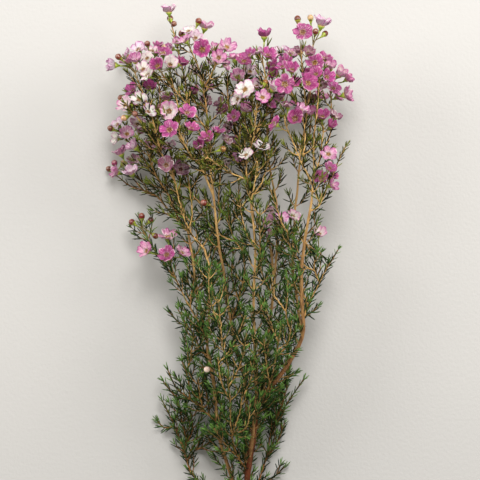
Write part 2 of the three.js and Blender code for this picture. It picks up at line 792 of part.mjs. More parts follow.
// A limb, or with extra the slightly larger space that the twigs keep clear of.
function limbSolid(limb, extra) {
  const points = pathPoints(limb);
  const end = points[points.length - 1];
  const lead = end.clone().sub(points[points.length - 2]).normalize();
  end.addScaledVector(lead, extra);
  const sides = limb[0][3] > THIN_LIMB_RADIUS ? LIMB_SIDES : THIN_LIMB_SIDES;
  return tube(points, limb.map((stop) => stop[3] + extra), sides);
}

function twigRadius(share) {
  return TWIG_ROOT_RADIUS + (TWIG_TIP_RADIUS - TWIG_ROOT_RADIUS) * share;
}

// Obstacles are thick line segments, each with the name of the node that it belongs to.
function pathObstacles(points, radii, owner) {
  return points.slice(1).map((to, place) => {
    const radius = Math.max(radii[place], radii[place + 1]);
    return { from: points[place], to, radius, owner };
  });
}

function bloomObstacles(bloom) {
  const tip = pathPoints([bloom.name])[0];
  const foot = bloom.centre.clone();
  if (bloom.axis) {
    foot.addScaledVector(bloom.axis, -bloom.width * BLOOM_GUARD_DEPTH);
  }
  return [
    { from: tip, to: foot, radius: HUB_RADIUS, owner: bloom.name },
    { from: foot, to: bloom.centre, radius: bloom.width * BLOOM_GUARD_RADIUS, owner: bloom.name },
  ];
}

function clamped(value) {
  return Math.min(Math.max(value, 0), 1);
}

function segmentDistance(a, b, c, d) {
  const along = b.clone().sub(a);
  const other = d.clone().sub(c);
  const apart = a.clone().sub(c);
  const alongSquare = along.dot(along);
  const otherSquare = Math.max(other.dot(other), TINY);
  const across = along.dot(other);
  const spread = alongSquare * otherSquare - across * across;
  const start = spread > TINY ? (across * other.dot(apart) - along.dot(apart) * otherSquare) / spread : 0;
  const otherShare = clamped((across * clamped(start) + other.dot(apart)) / otherSquare);
  const share = clamped((across * otherShare - along.dot(apart)) / alongSquare);
  return a.clone().addScaledVector(along, share).distanceTo(c.clone().addScaledVector(other, otherShare));
}

function isClear(from, to, owner, obstacles) {
  return obstacles.every((obstacle) => {
    const need = NEEDLE_RADIUS + obstacle.radius + NEEDLE_CLEARANCE;
    return obstacle.owner === owner || segmentDistance(from, to, obstacle.from, obstacle.to) > need;
  });
}

// Blooms and buds as they are laid out. A bud has no axis of its own.
function collectBlooms() {
  return Object.entries(CLUSTERS).flatMap(([name, cluster]) => [
    ...cluster.blooms.map(([column, row, above, width, tint, turn, rise]) => {
      const centre = vector(column, row, cluster.tip[2] + above);
      return { name, centre, width, tint, axis: facing(turn, rise) };
    }),
    ...cluster.buds.map(([column, row, above, tint]) => {
      const centre = vector(column, row, cluster.tip[2] + above);
      return { name, centre, width: 2 * BUD_RADIUS, tint, axis: null };
    }),
  ]);
}

function pushApart(bloom, other) {
  const need = ((bloom.width + other.width) / 2) * BLOOM_SHARE + BLOOM_CLEARANCE;
  const dx = bloom.centre.x - other.centre.x;
  const dy = bloom.centre.y - other.centre.y;
  const dz = bloom.centre.z - other.centre.z;
  const missing = Math.sqrt(Math.max(need * need - dx * dx - dy * dy, 0)) - Math.abs(dz);
  if (missing > 0) {
    const step = (dz >= 0 ? 1 : -1) * missing * BLOOM_STEP;
    bloom.centre.z += step;
    other.centre.z -= step;
  }
}

function pushFromSegment(bloom, from, to) {
  const need = bloom.width * TWIG_SHARE + TWIG_CLEARANCE;
  const dx = to.x - from.x;
  const dy = to.y - from.y;
  const px = bloom.centre.x - from.x;
  const py = bloom.centre.y - from.y;
  const share = clamped((px * dx + py * dy) / (dx * dx + dy * dy));
  const offX = px - dx * share;
  const offY = py - dy * share;
  const dz = bloom.centre.z - (from.z + (to.z - from.z) * share);
  const missing = Math.sqrt(Math.max(need * need - offX * offX - offY * offY, 0)) - Math.abs(dz);
  if (missing > 0) {
    bloom.centre.z += (dz >= 0 ? 1 : -1) * missing * TWIG_STEP;
  }
}

function spreadBlooms(blooms, segments) {
  for (let pass = 0; pass < SPREAD_PASSES; pass++) {
    blooms.forEach((bloom, place) => {
      blooms.slice(place + 1).forEach((other) => pushApart(bloom, other));
      segments.forEach((segment) => pushFromSegment(bloom, segment.from, segment.to));
      bloom.centre.z = Math.max(bloom.centre.z, LOWEST_BLOOM);
    });
  }
}

function petalOutline(centre, axis, directions, reach, shape) {
  const outline = [];
  for (let petal = 0; petal < PETALS; petal++) {
    shape.forEach(([degrees, share, lift]) => {
      const turn = THREE.MathUtils.degToRad((petal * 360) / PETALS + degrees);
      outline.push(aroundAxis(centre, directions, turn, share * reach).addScaledVector(axis, lift * reach));
    });
  }
  return outline;
}

// One surface from the stalk's root over the cup and the petals to the middle of the bloom.
function bloomSolid(bloom, root) {
  const axis = bloom.axis;
  const reach = bloom.width / 2;
  const small = bloom.width < SMALL_BLOOM;
  const below = (distance) => bloom.centre.clone().addScaledVector(axis, -distance);
  const cupFoot = below(reach * CUP_DEPTH + CUP_FOOT);
  const stalkDirections = crossDirections(cupFoot.clone().sub(root).normalize());
  const directions = carryDirections(stalkDirections, axis);
  const rings = [
    ring(root, stalkDirections, STALK_RADIUS, STALK_SIDES),
    ring(cupFoot, directions, STALK_TOP_RADIUS, STALK_SIDES),
    ring(below(PETAL_THICKNESS + CUP_WALL), directions, CUP_WIDTH * reach, PETALS),
  ];
  if (!small) {
    const [share, lift] = PETAL_UNDERSIDE;
    rings.push(ring(below(PETAL_THICKNESS - lift * reach), directions, share * reach, PETALS));
  }
  rings.push(petalOutline(bloom.centre, axis, directions, reach, small ? POINTED_PETAL : ROUNDED_PETAL));
  rings.push([below(CUP_HOLLOW)]);
  return skin(rings);
}

function budSolid(bud, root) {
  const axis = bud.centre.clone().sub(root).normalize();
  const directions = crossDirections(axis);
  const along = (distance) => bud.centre.clone().addScaledVector(axis, distance);
  return skin([
    ring(root, directions, STALK_RADIUS, STALK_SIDES),
    ring(along(-BUD_HEIGHT / 2), directions, STALK_TOP_RADIUS, STALK_SIDES),
    ring(along(BUD_BELLY), directions, BUD_RADIUS, PETALS),
    [along(BUD_HEIGHT / 2)],
  ]);
}

// The stalks leave the hub one after another along its outer part.
function clusterSolid(tip, lead, blooms) {
  const foot = tip.clone().addScaledVector(lead, GAP);
  const top = tip.clone().addScaledVector(lead, HUB_LENGTH);
  const solids = [tube([foot, top], [HUB_RADIUS, HUB_RADIUS * HUB_TAPER], TWIG_SIDES)];
  blooms.forEach((bloom, number) => {
    const share = FIRST_STALK + (STALK_SPAN * (number + 0.5)) / blooms.length;
    const root = tip.clone().addScaledVector(lead, HUB_LENGTH * share);
    solids.push(bloom.axis ? bloomSolid(bloom, root) : budSolid(bloom, root));
  });
  return largestBody(fuse(solids));
}

// The two rings of a whorl, on either side of its middle.
function whorlStops(middle, lead, share) {
  return [-0.5, 0.5].map((side) => {
    return { centre: middle.clone().addScaledVector(lead, side * WHORL_LENGTH), axis: lead, share, side };
  });
}

// The places of a twig's rings: one at each end and bend, and two for each whorl.
function twigStops(points, spacing, seed) {
  const lengths = points.map((point, place) => (place === 0 ? 0 : point.distanceTo(points[place - 1])));
  const whole = lengths.reduce((sum, length) => sum + length, 0);
  const stops = [];
  let walked = 0;
  let next = spacing * FIRST_WHORL;
  points.forEach((point, place) => {
    const from = points[Math.max(place - 1, 0)];
    const axis = points[Math.min(place + 1, points.length - 1)].clone().sub(from).normalize();
    if (place > 0) {
      const lead = point.clone().sub(from).normalize();
      next = Math.max(next, walked + WHORL_MARGIN);
      while (next < walked + lengths[place] - WHORL_MARGIN) {
        stops.push(...whorlStops(from.clone().addScaledVector(lead, next - walked), lead, next / whole));
        next += spacing * varied(SPACING_SPREAD, seed, stops.length);
      }
      walked += lengths[place];
    }
    stops.push({ centre: point, axis, share: walked / whole, side: 0 });
  });
  return stops;
}

// The tips of a whorl's needles, or null for a needle that would come too near another node.
function whorlTips(stop, directions, number, owner, obstacles) {
  const root = stop.centre.clone().addScaledVector(stop.axis, -WHORL_LENGTH / 2);
  return Array.from({ length: TWIG_SIDES }, (unused, side) => {
    const lean = THREE.MathUtils.degToRad(NEEDLE_LEAN * varied(NEEDLE_LEAN_SPREAD, number, side));
    const length = NEEDLE_LENGTH * varied(NEEDLE_LENGTH_SPREAD, number, side + LENGTH_DRAWS);
    const turn = ((side + 0.5) / TWIG_SIDES) * 2 * Math.PI;
    const tip = aroundAxis(root, directions, turn, Math.sin(lean) * length);
    tip.addScaledVector(stop.axis, Math.cos(lean) * length);
    if (tip.z < NEEDLE_LOWEST || !isClear(root, tip, owner, obstacles)) {
      return null;
    }
    obstacles.push({ from: root, to: tip, radius: NEEDLE_RADIUS, owner });
    return tip;
  });
}

// A twig with whorls of needles, one from each side. Each whorl is turned a little from the last.
function twigSolid(points, spacing, seed, owner, obstacles) {
  const rings = [];
  const spikes = {};
  let directions = null;
  twigStops(points, spacing, seed).forEach((stop, number) => {
    directions = directions === null ? crossDirections(stop.axis) : carryDirections(directions, stop.axis);
    if (stop.side < 0) {
      const turn = WHORL_TWIST * varied(WHORL_TWIST_SPREAD, seed + TWIST_DRAWS, number);
      directions = directions.map((direction) => direction.clone().applyAxisAngle(stop.axis, turn));
    }
    rings.push(ring(stop.centre, directions, twigRadius(stop.share), TWIG_SIDES));
    if (stop.side > 0) {
      spikes[rings.length - 1] = whorlTips(stop, directions, number + seed * WHORL_DRAWS, owner, obstacles);
    }
  });
  return skin(rings, spikes);
}

// Edges shorter than SHORTEST_EDGE, which joining leaves behind, are drawn together to a point,
// where the surface stays closed: where the edge's two ends share no neighbours but the two beside it.
function withoutShortEdges(positions, triangles) {
  let kept = [];
  for (let corner = 0; corner < triangles.length; corner += 3) {
    kept.push([triangles[corner], triangles[corner + 1], triangles[corner + 2]]);
  }
  const place = (point) => new THREE.Vector3(...positions.slice(point * 3, point * 3 + 3));
  const around = (point) => new Set(kept.filter((triangle) => triangle.includes(point)).flat());
  const isSafe = ([a, b]) => [...around(a)].filter((point) => around(b).has(point)).length === 4;
  const passed = new Set();
  const nextShort = () => {
    const edges = kept.flatMap(([a, b, c]) => [[a, b], [b, c], [c, a]]);
    const isShort = ([a, b]) => place(a).distanceTo(place(b)) < SHORTEST_EDGE;
    return edges.find((edge) => isShort(edge) && !passed.has(edge.join()));
  };
  for (let edge = nextShort(); edge; edge = nextShort()) {
    const [stays, goes] = edge;
    if (isSafe(edge)) {
      kept = kept.map((triangle) => triangle.map((point) => (point === goes ? stays : point)));
      kept = kept.filter((triangle) => new Set(triangle).size === 3);
    } else {
      passed.add(edge.join());
    }
  }
  return kept.flat();
}

function addMesh(group, name, solid, colour, roughness) {
  const made = solid.getMesh();
  const geometry = new THREE.BufferGeometry();
  geometry.setAttribute("position", new THREE.BufferAttribute(new Float32Array(made.vertProperties), 3));
  geometry.setIndex(withoutShortEdges(made.vertProperties, made.triVerts));
  const material = new THREE.MeshStandardMaterial({ color: colour, roughness, metalness: 0 });
  const mesh = new THREE.Mesh(geometry, material);
  mesh.name = name;
  group.add(mesh);
}

// The direction in which each cluster's twig ends.
function clusterLeads() {
  const leads = {};
  TWIGS.flatMap((twig) => twig.paths).forEach((path) => {
    const [before, end] = pathPoints(path.slice(-2));
    leads[path[path.length - 1]] = end.sub(before).normalize();
  });
  return leads;
}

function twigObstacles() {
  return TWIGS.flatMap((twig) =>
    twig.paths.map(pathPoints).flatMap((points) => {
      const radii = points.map((point, place) => twigRadius(place / (points.length - 1)));
      return pathObstacles(points, radii, twig.name);
    }),
  );
}

function limbObstacles() {
  return LIMBS.flatMap((limb) => pathObstacles(pathPoints(limb), limb.map((stop) => stop[3]), "woody_stem"));
}

function buildStem() {
  const stem = new THREE.Group();
  const blooms = collectBlooms();
  const obstacles = [...limbObstacles(), ...twigObstacles()];
  spreadBlooms(blooms, obstacles);
  obstacles.push(...blooms.flatMap(bloomObstacles));

  addMesh(stem, "woody_stem", fuse(LIMBS.map((limb) => limbSolid(limb, 0))), BARK, BARK_ROUGHNESS);
  const woodCollar = fuse(LIMBS.map((limb) => limbSolid(limb, GAP)));
  TWIGS.forEach((twig, number) => {
    const leafy = twig.name.startsWith("leafy");
    const spacing = leafy ? LEAFY_SPACING : FLOWERING_SPACING;
    const paths = twig.paths.map((path, which) =>
      twigSolid(pathPoints(path), spacing, number * PATH_DRAWS + which, twig.name, obstacles),
    );
    const solid = largestBody(fuse(paths).subtract(woodCollar));
    addMesh(stem, twig.name, solid, leafy ? NEEDLE : TWIG, TWIG_ROUGHNESS);
  });

  const leads = clusterLeads();
  Object.keys(CLUSTERS).forEach((name) => {
    const own = blooms.filter((bloom) => bloom.name === name);
    const solid = clusterSolid(pathPoints([name])[0], leads[name], own);
    addMesh(stem, name.replace("c", "blooms_"), solid, TINTS[own[0].tint], PETAL_ROUGHNESS);
  });
  return stem;
}

// The stem lies with the middle of its box over the origin and its lowest points at height 0.
const stem = buildStem();
const box = new THREE.Box3().setFromObject(stem);
const middle = box.getCenter(new THREE.Vector3());
stem.position.set(-middle.x, -middle.y, -box.min.z);

export default stem;
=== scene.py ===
"""A cut waxflower stem lying down: forked wood, leafy and flowering twigs, blooms and buds.

The layout is drawn on a flat grid seen from above, in millimetres, and each finished piece is
set in metres over the frame's own solids.
"""

import math
import random
from dataclasses import dataclass

import bmesh
import bpy
from mathutils import Matrix, Vector, noise
from mathutils.geometry import interpolate_bezier


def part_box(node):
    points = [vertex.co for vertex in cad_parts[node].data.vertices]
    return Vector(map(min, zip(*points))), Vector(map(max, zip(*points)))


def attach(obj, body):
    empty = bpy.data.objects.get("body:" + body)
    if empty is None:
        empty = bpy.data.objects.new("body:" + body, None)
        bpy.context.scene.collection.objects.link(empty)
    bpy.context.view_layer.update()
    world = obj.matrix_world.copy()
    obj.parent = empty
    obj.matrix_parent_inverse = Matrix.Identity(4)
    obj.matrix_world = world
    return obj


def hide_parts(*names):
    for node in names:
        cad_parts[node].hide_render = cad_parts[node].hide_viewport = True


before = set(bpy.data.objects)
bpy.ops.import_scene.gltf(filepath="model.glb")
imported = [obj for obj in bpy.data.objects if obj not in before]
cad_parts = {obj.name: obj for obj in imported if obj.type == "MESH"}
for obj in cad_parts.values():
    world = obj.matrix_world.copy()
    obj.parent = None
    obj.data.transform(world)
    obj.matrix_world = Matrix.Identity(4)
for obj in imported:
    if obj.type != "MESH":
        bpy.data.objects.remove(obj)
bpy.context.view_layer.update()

bl_info = {
    "name": "Waxflower stem",
    "version": (1, 0, 0),
    "blender": (4, 5, 0),
    "location": "3D View > Sidebar > Waxflower",
    "description": "Dresses the packed waxflower stem with wood, needles, blooms and buds",
    "category": "Add Mesh",
}

MM = 0.001

# The grid: columns run to the right and rows from the tips down to the cut end, a step apart.
GRID_STEP = 1.1
GRID_MIDDLE = 240
GRID_FOOT = 562
VIEW_MIDDLE = (240, 240, 60)
VIEW_COLUMNS = 480
CAMERA_SENSOR = 36

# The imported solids' own rules, which place the blooms, buds and stalks.
BLOOM_SHARE = 1.02
BLOOM_CLEARANCE = 1
BLOOM_STEP = 0.3
TWIG_SHARE = 0.42
TWIG_CLEARANCE = 2.2
TWIG_STEP = 0.5
SPREAD_PASSES = 60
LOWEST_BLOOM = 9
LIMB_SIDES = 6
THIN_LIMB_RADIUS = 1.7
THIN_LIMB_SIDES = 5
STEEP = 0.9
TWIG_ROOT_RADIUS = 1.1
TWIG_TIP_RADIUS = 0.75
HUB_LENGTH = 10
STALK_RADIUS = 0.42
STALK_TOP_RADIUS = 0.9
FIRST_STALK = 0.25
STALK_SPAN = 0.65
CUP_DEPTH = 0.56
CUP_FOOT = 1.6
BUD_RADIUS = 3.3

# Limbs of the woody stem: (column, row, height, radius).
LIMBS = [
    [(243, 562, 5.1, 5.0), (244, 538, 7, 4.7), (246, 510, 13, 4.2), (248, 478, 22, 3.4), (251, 455, 29, 3.0),
     (257, 416, 40, 2.8), (263, 397, 45, 2.7), (279, 377, 53, 2.5), (302, 337, 62, 2.3), (301, 295, 70, 2.0),
     (302, 260, 76, 1.8), (307, 225, 84, 1.5), (311, 200, 90, 1.3)],
    [(255, 428, 36, 2.0), (264, 386, 34, 1.9), (268, 347, 32, 1.7), (271, 315, 33, 1.5), (275, 279, 35, 1.4),
     (277, 250, 38, 1.3), (277, 207, 46, 1.1), (272, 178, 52, 1.0)],
    [(275, 279, 35, 1.3), (268, 239, 34, 1.2), (254, 216, 36, 1.1), (250, 190, 40, 1.0)],
    [(250, 463, 27, 2.0), (256, 400, 54, 1.8), (255, 347, 64, 1.6), (254, 300, 74, 1.4), (255, 249, 84, 1.3),
     (251, 202, 88, 1.1)],
    [(247, 490, 18, 2.1), (246, 440, 14, 1.9), (246, 385, 20, 1.8), (239, 362, 26, 1.7), (231, 321, 38, 1.6),
     (224, 277, 56, 1.5), (218, 235, 74, 1.3), (213, 186, 90, 1.2), (209, 150, 90, 1.0), (207, 116, 84, 0.9)],
    [(214, 196, 87, 1.1), (206, 177, 94, 1.0), (200, 165, 98, 0.9)],
    [(245, 522, 10, 2.4), (232, 482, 20, 2.1), (221, 445, 30, 2.0), (215, 400, 40, 1.8), (212, 375, 46, 1.7),
     (207, 345, 54, 1.6), (209, 310, 62, 1.5), (210, 270, 68, 1.3), (205, 249, 70, 1.2)],
    [(207, 345, 54, 1.4), (199, 300, 58, 1.3), (192, 255, 56, 1.2), (183, 210, 62, 1.1), (173, 177, 72, 1.0)],
    [(302, 337, 62, 1.6), (297, 300, 60, 1.5), (293, 262, 56, 1.3), (296, 201, 54, 1.2), (302, 148, 55, 1.0)],
    [(244, 535, 8, 2.0), (226, 512, 7, 1.8), (205, 494, 8, 1.6), (190, 474, 9, 1.3)],
]

# Green twigs. A path runs over (column, row, height) and may end at a named bloom cluster.
TWIGS = {
    "flowering_twig_01": [
        [(205, 249, 70), (192, 235, 67), (180, 222, 58), (169, 211, 48), (155, 195, 36), (131, 186, 18),
         "c37"],
        [(155, 195, 36), (144, 191, 32), "c23"],
        [(192, 235, 67), (183, 214, 76), "c24"],
        [(180, 222, 58), (168, 195, 50), (156, 175, 52), "c20"],
        [(168, 195, 50), (152, 170, 44), "c19"],
        [(190, 230, 69), (192, 212, 74), (191, 197, 78), (187, 174, 78)],
    ],
    "flowering_twig_02": [
        [(173, 177, 72), (160, 152, 80), "c18"],
        [(160, 152, 80), (157, 126, 68), "c17"],
        [(160, 152, 80), (153, 118, 92), "c05"],
        [(157, 126, 68), (160, 92, 52), "c04"],
    ],
    "flowering_twig_03": [
        [(200, 165, 98), (192, 158, 112), "c22"],
        [(192, 158, 112), (184, 146, 104), "c21"],
        [(181, 142, 104), (180, 126, 100), (178, 104, 93), (172, 85, 89)],
    ],
    "flowering_twig_04": [
        [(207, 116, 84), (204, 90, 90), (198, 68, 88), "c02"],
        [(204, 90, 90), (210, 80, 102), "c03"],
        [(206, 108, 86), (202, 106, 76), "c07"],
    ],
    "flowering_twig_05": [
        [(208, 132, 87), (190, 108, 94), (176, 92, 96), "c06"],
        [(190, 108, 94), (184, 76, 74), "c01"],
    ],
    "flowering_twig_06": [
        [(251, 202, 88), (254, 188, 93), "c31"],
        [(251, 202, 88), (246, 165, 92), (253, 140, 102), "c26"],
        [(246, 165, 92), (240, 148, 84), "c27"],
        [(253, 140, 102), (268, 108, 96), "c09"],
        [(248, 180, 90), (228, 172, 96), "c25"],
        [(253, 194, 91), (260, 186, 90), (265, 172, 90), (269, 154, 92)],
        [(241, 141, 80), (236, 131, 68), (229, 109, 61), (227, 86, 57)],
    ],
    "flowering_twig_07": [
        [(250, 190, 40), (247, 178, 46), "c30"],
        [(250, 190, 40), (254, 150, 36), (250, 116, 30), "c08"],
    ],
    "flowering_twig_08": [
        [(272, 178, 52), (267, 138, 58), (275, 108, 66), "c10"],
    ],
    "flowering_twig_09": [
        [(277, 252, 38), (281, 248, 48), "c33"],
        [(280, 249, 45), (292, 244, 47), (308, 233, 47), (318, 221, 47)],
    ],
    "flowering_twig_10": [
        [(302, 148, 55), (306, 116, 66), (304, 88, 84), "c11"],
        [(302, 148, 55), (309, 138, 32), "c16"],
        [(306, 116, 66), (311, 82, 76), "c12"],
    ],
    "flowering_twig_11": [
        [(311, 200, 90), (313, 176, 92), (313, 140, 102), (316, 114, 101), "c13"],
        [(313, 176, 92), (319, 160, 86), "c29"],
        [(319, 160, 86), (331, 128, 66), "c14"],
        [(313, 188, 91), (302, 166, 112), "c28"],
        [(302, 166, 112), (304, 128, 106), "c15"],
    ],
    "flowering_twig_12": [
        [(207, 342, 55), (196, 318, 56), (185, 298, 54), (177, 282, 53), "c35"],
        [(177, 282, 53), (158, 256, 40), (149, 242, 34), "c36"],
        [(190, 307, 55), (192, 292, 52), (195, 270, 49), (194, 253, 49)],
        [(194, 256, 49), (205, 243, 55), (216, 225, 59), (224, 202, 62)],
        [(219, 216, 60), (219, 198, 55), (220, 177, 50), (222, 158, 48)],
        [(191, 297, 53), (201, 285, 54), (210, 266, 49), (215, 247, 47)],
    ],
    "flowering_twig_13": [
        [(305, 240, 80), (311, 252, 70), "c34"],
    ],
    "leafy_shoot_01": [
        [(190, 474, 9), (182, 450, 11), (174, 428, 14), (161, 402, 16)],
        [(182, 450, 11), (192, 434, 15), (190, 412, 18)],
        [(174, 428, 14), (163, 430, 9), (157, 424, 7)],
        [(186, 462, 10), (197, 450, 9), (204, 432, 8)],
        [(195, 452, 9), (207, 447, 10), (220, 427, 13), (224, 414, 16)],
        [(187, 442, 13), (182, 426, 15), (179, 411, 18), (176, 395, 20)],
        [(224, 415, 16), (220, 405, 20), (215, 387, 24), (211, 371, 23)],
    ],
    "leafy_shoot_02": [
        [(218, 424, 35), (204, 412, 36), (190, 400, 36), (176, 388, 34), (167, 370, 32)],
        [(190, 400, 36), (177, 398, 26), (163, 382, 24)],
        [(204, 412, 36), (200, 396, 46), (198, 378, 52)],
        [(190, 400, 36), (188, 380, 44), (182, 362, 50)],
        [(210, 417, 36), (208, 404, 34), (205, 388, 33), (202, 366, 27)],
        [(186, 374, 46), (190, 359, 49), (193, 339, 53), (194, 324, 57)],
    ],
    "leafy_shoot_03": [
        [(210, 362, 49), (202, 352, 48), (188, 328, 46), (178, 310, 44)],
        [(202, 352, 48), (193, 356, 42), (184, 344, 38)],
        [(188, 328, 46), (177, 322, 38), (169, 313, 34)],
    ],
    "leafy_shoot_04": [
        [(248, 474, 23), (238, 458, 40), (232, 436, 54), (230, 400, 70), (228, 364, 78)],
        [(232, 436, 54), (240, 412, 66), (242, 386, 74)],
        [(230, 400, 70), (221, 380, 76), (218, 356, 82)],
        [(238, 458, 40), (226, 446, 50), (214, 428, 60)],
        [(232, 436, 54), (247, 426, 64), (250, 402, 74)],
        [(219, 363, 80), (227, 352, 82), (237, 336, 81), (246, 315, 81)],
        [(224, 356, 81), (222, 339, 88), (220, 318, 97), (219, 299, 104)],
        [(221, 327, 93), (214, 313, 88), (209, 289, 86), (209, 268, 84)],
        [(229, 385, 73), (236, 374, 78), (242, 355, 83), (247, 332, 88)],
        [(241, 396, 71), (250, 382, 73), (254, 362, 75), (257, 342, 80)],
    ],
    "leafy_shoot_05": [
        [(262, 399, 45), (270, 384, 60), (276, 356, 72), (280, 326, 78)],
        [(270, 384, 60), (266, 362, 76), (264, 338, 86)],
        [(276, 356, 72), (287, 344, 72), (291, 320, 76)],
        [(289, 331, 74), (286, 315, 75), (286, 299, 75), (288, 280, 80)],
        [(286, 310, 75), (275, 297, 74), (266, 281, 75), (258, 261, 82)],
        [(278, 340, 75), (272, 329, 70), (263, 311, 71), (258, 293, 68)],
        [(260, 267, 80), (260, 251, 87), (259, 229, 93), (260, 208, 90)],
        [(260, 246, 88), (248, 236, 89), (242, 218, 91), (239, 200, 93)],
    ],
    "leafy_shoot_06": [
        [(247, 505, 14), (258, 486, 11), (266, 462, 10), (272, 433, 12), (288, 404, 16), (304, 381, 20)],
        [(266, 462, 10), (278, 444, 9), (286, 425, 9)],
        [(258, 486, 11), (272, 482, 8), (285, 470, 7)],
        [(272, 433, 12), (281, 410, 26), (288, 386, 34)],
        [(272, 433, 12), (267, 410, 13), (262, 386, 14)],
        [(269, 418, 13), (274, 408, 17), (281, 394, 18), (290, 373, 20)],
        [(289, 376, 20), (289, 364, 17), (288, 347, 14), (290, 326, 9)],
    ],
    "leafy_shoot_07": [
        [(302, 322, 65), (309, 302, 64), (319, 283, 61), (328, 267, 57), (338, 250, 54)],
        [(304, 316, 65), (310, 314, 57), (318, 307, 50)],
        [(319, 283, 61), (314, 268, 68), (317, 252, 74)],
        [(315, 271, 67), (305, 266, 70), (290, 247, 75), (287, 229, 78)],
        [(308, 305, 64), (304, 296, 64), (295, 277, 62), (289, 259, 64)],
        [(288, 234, 77), (281, 221, 87), (275, 204, 93), (269, 187, 97)],
    ],
    "leafy_shoot_08": [
        [(309, 212, 87), (318, 206, 86), (330, 180, 80), (338, 163, 76), (346, 146, 72)],
        [(318, 206, 86), "c32"],
    ],
    "leafy_shoot_09": [
        [(231, 321, 38), (239, 300, 52), (244, 272, 60), (243, 244, 66)],
        [(239, 300, 52), (232, 276, 42), (233, 250, 38)],
        [(243, 252, 64), (234, 238, 62), (230, 221, 62), (228, 198, 62)],
        [(236, 241, 62), (222, 236, 62), (207, 221, 65), (199, 200, 68)],
        [(231, 224, 62), (237, 214, 65), (239, 198, 69), (239, 184, 72)],
        [(232, 270, 41), (223, 259, 36), (213, 242, 29), (204, 223, 29)],
        [(201, 205, 67), (194, 197, 68), (184, 178, 69), (178, 158, 66)],
    ],
}

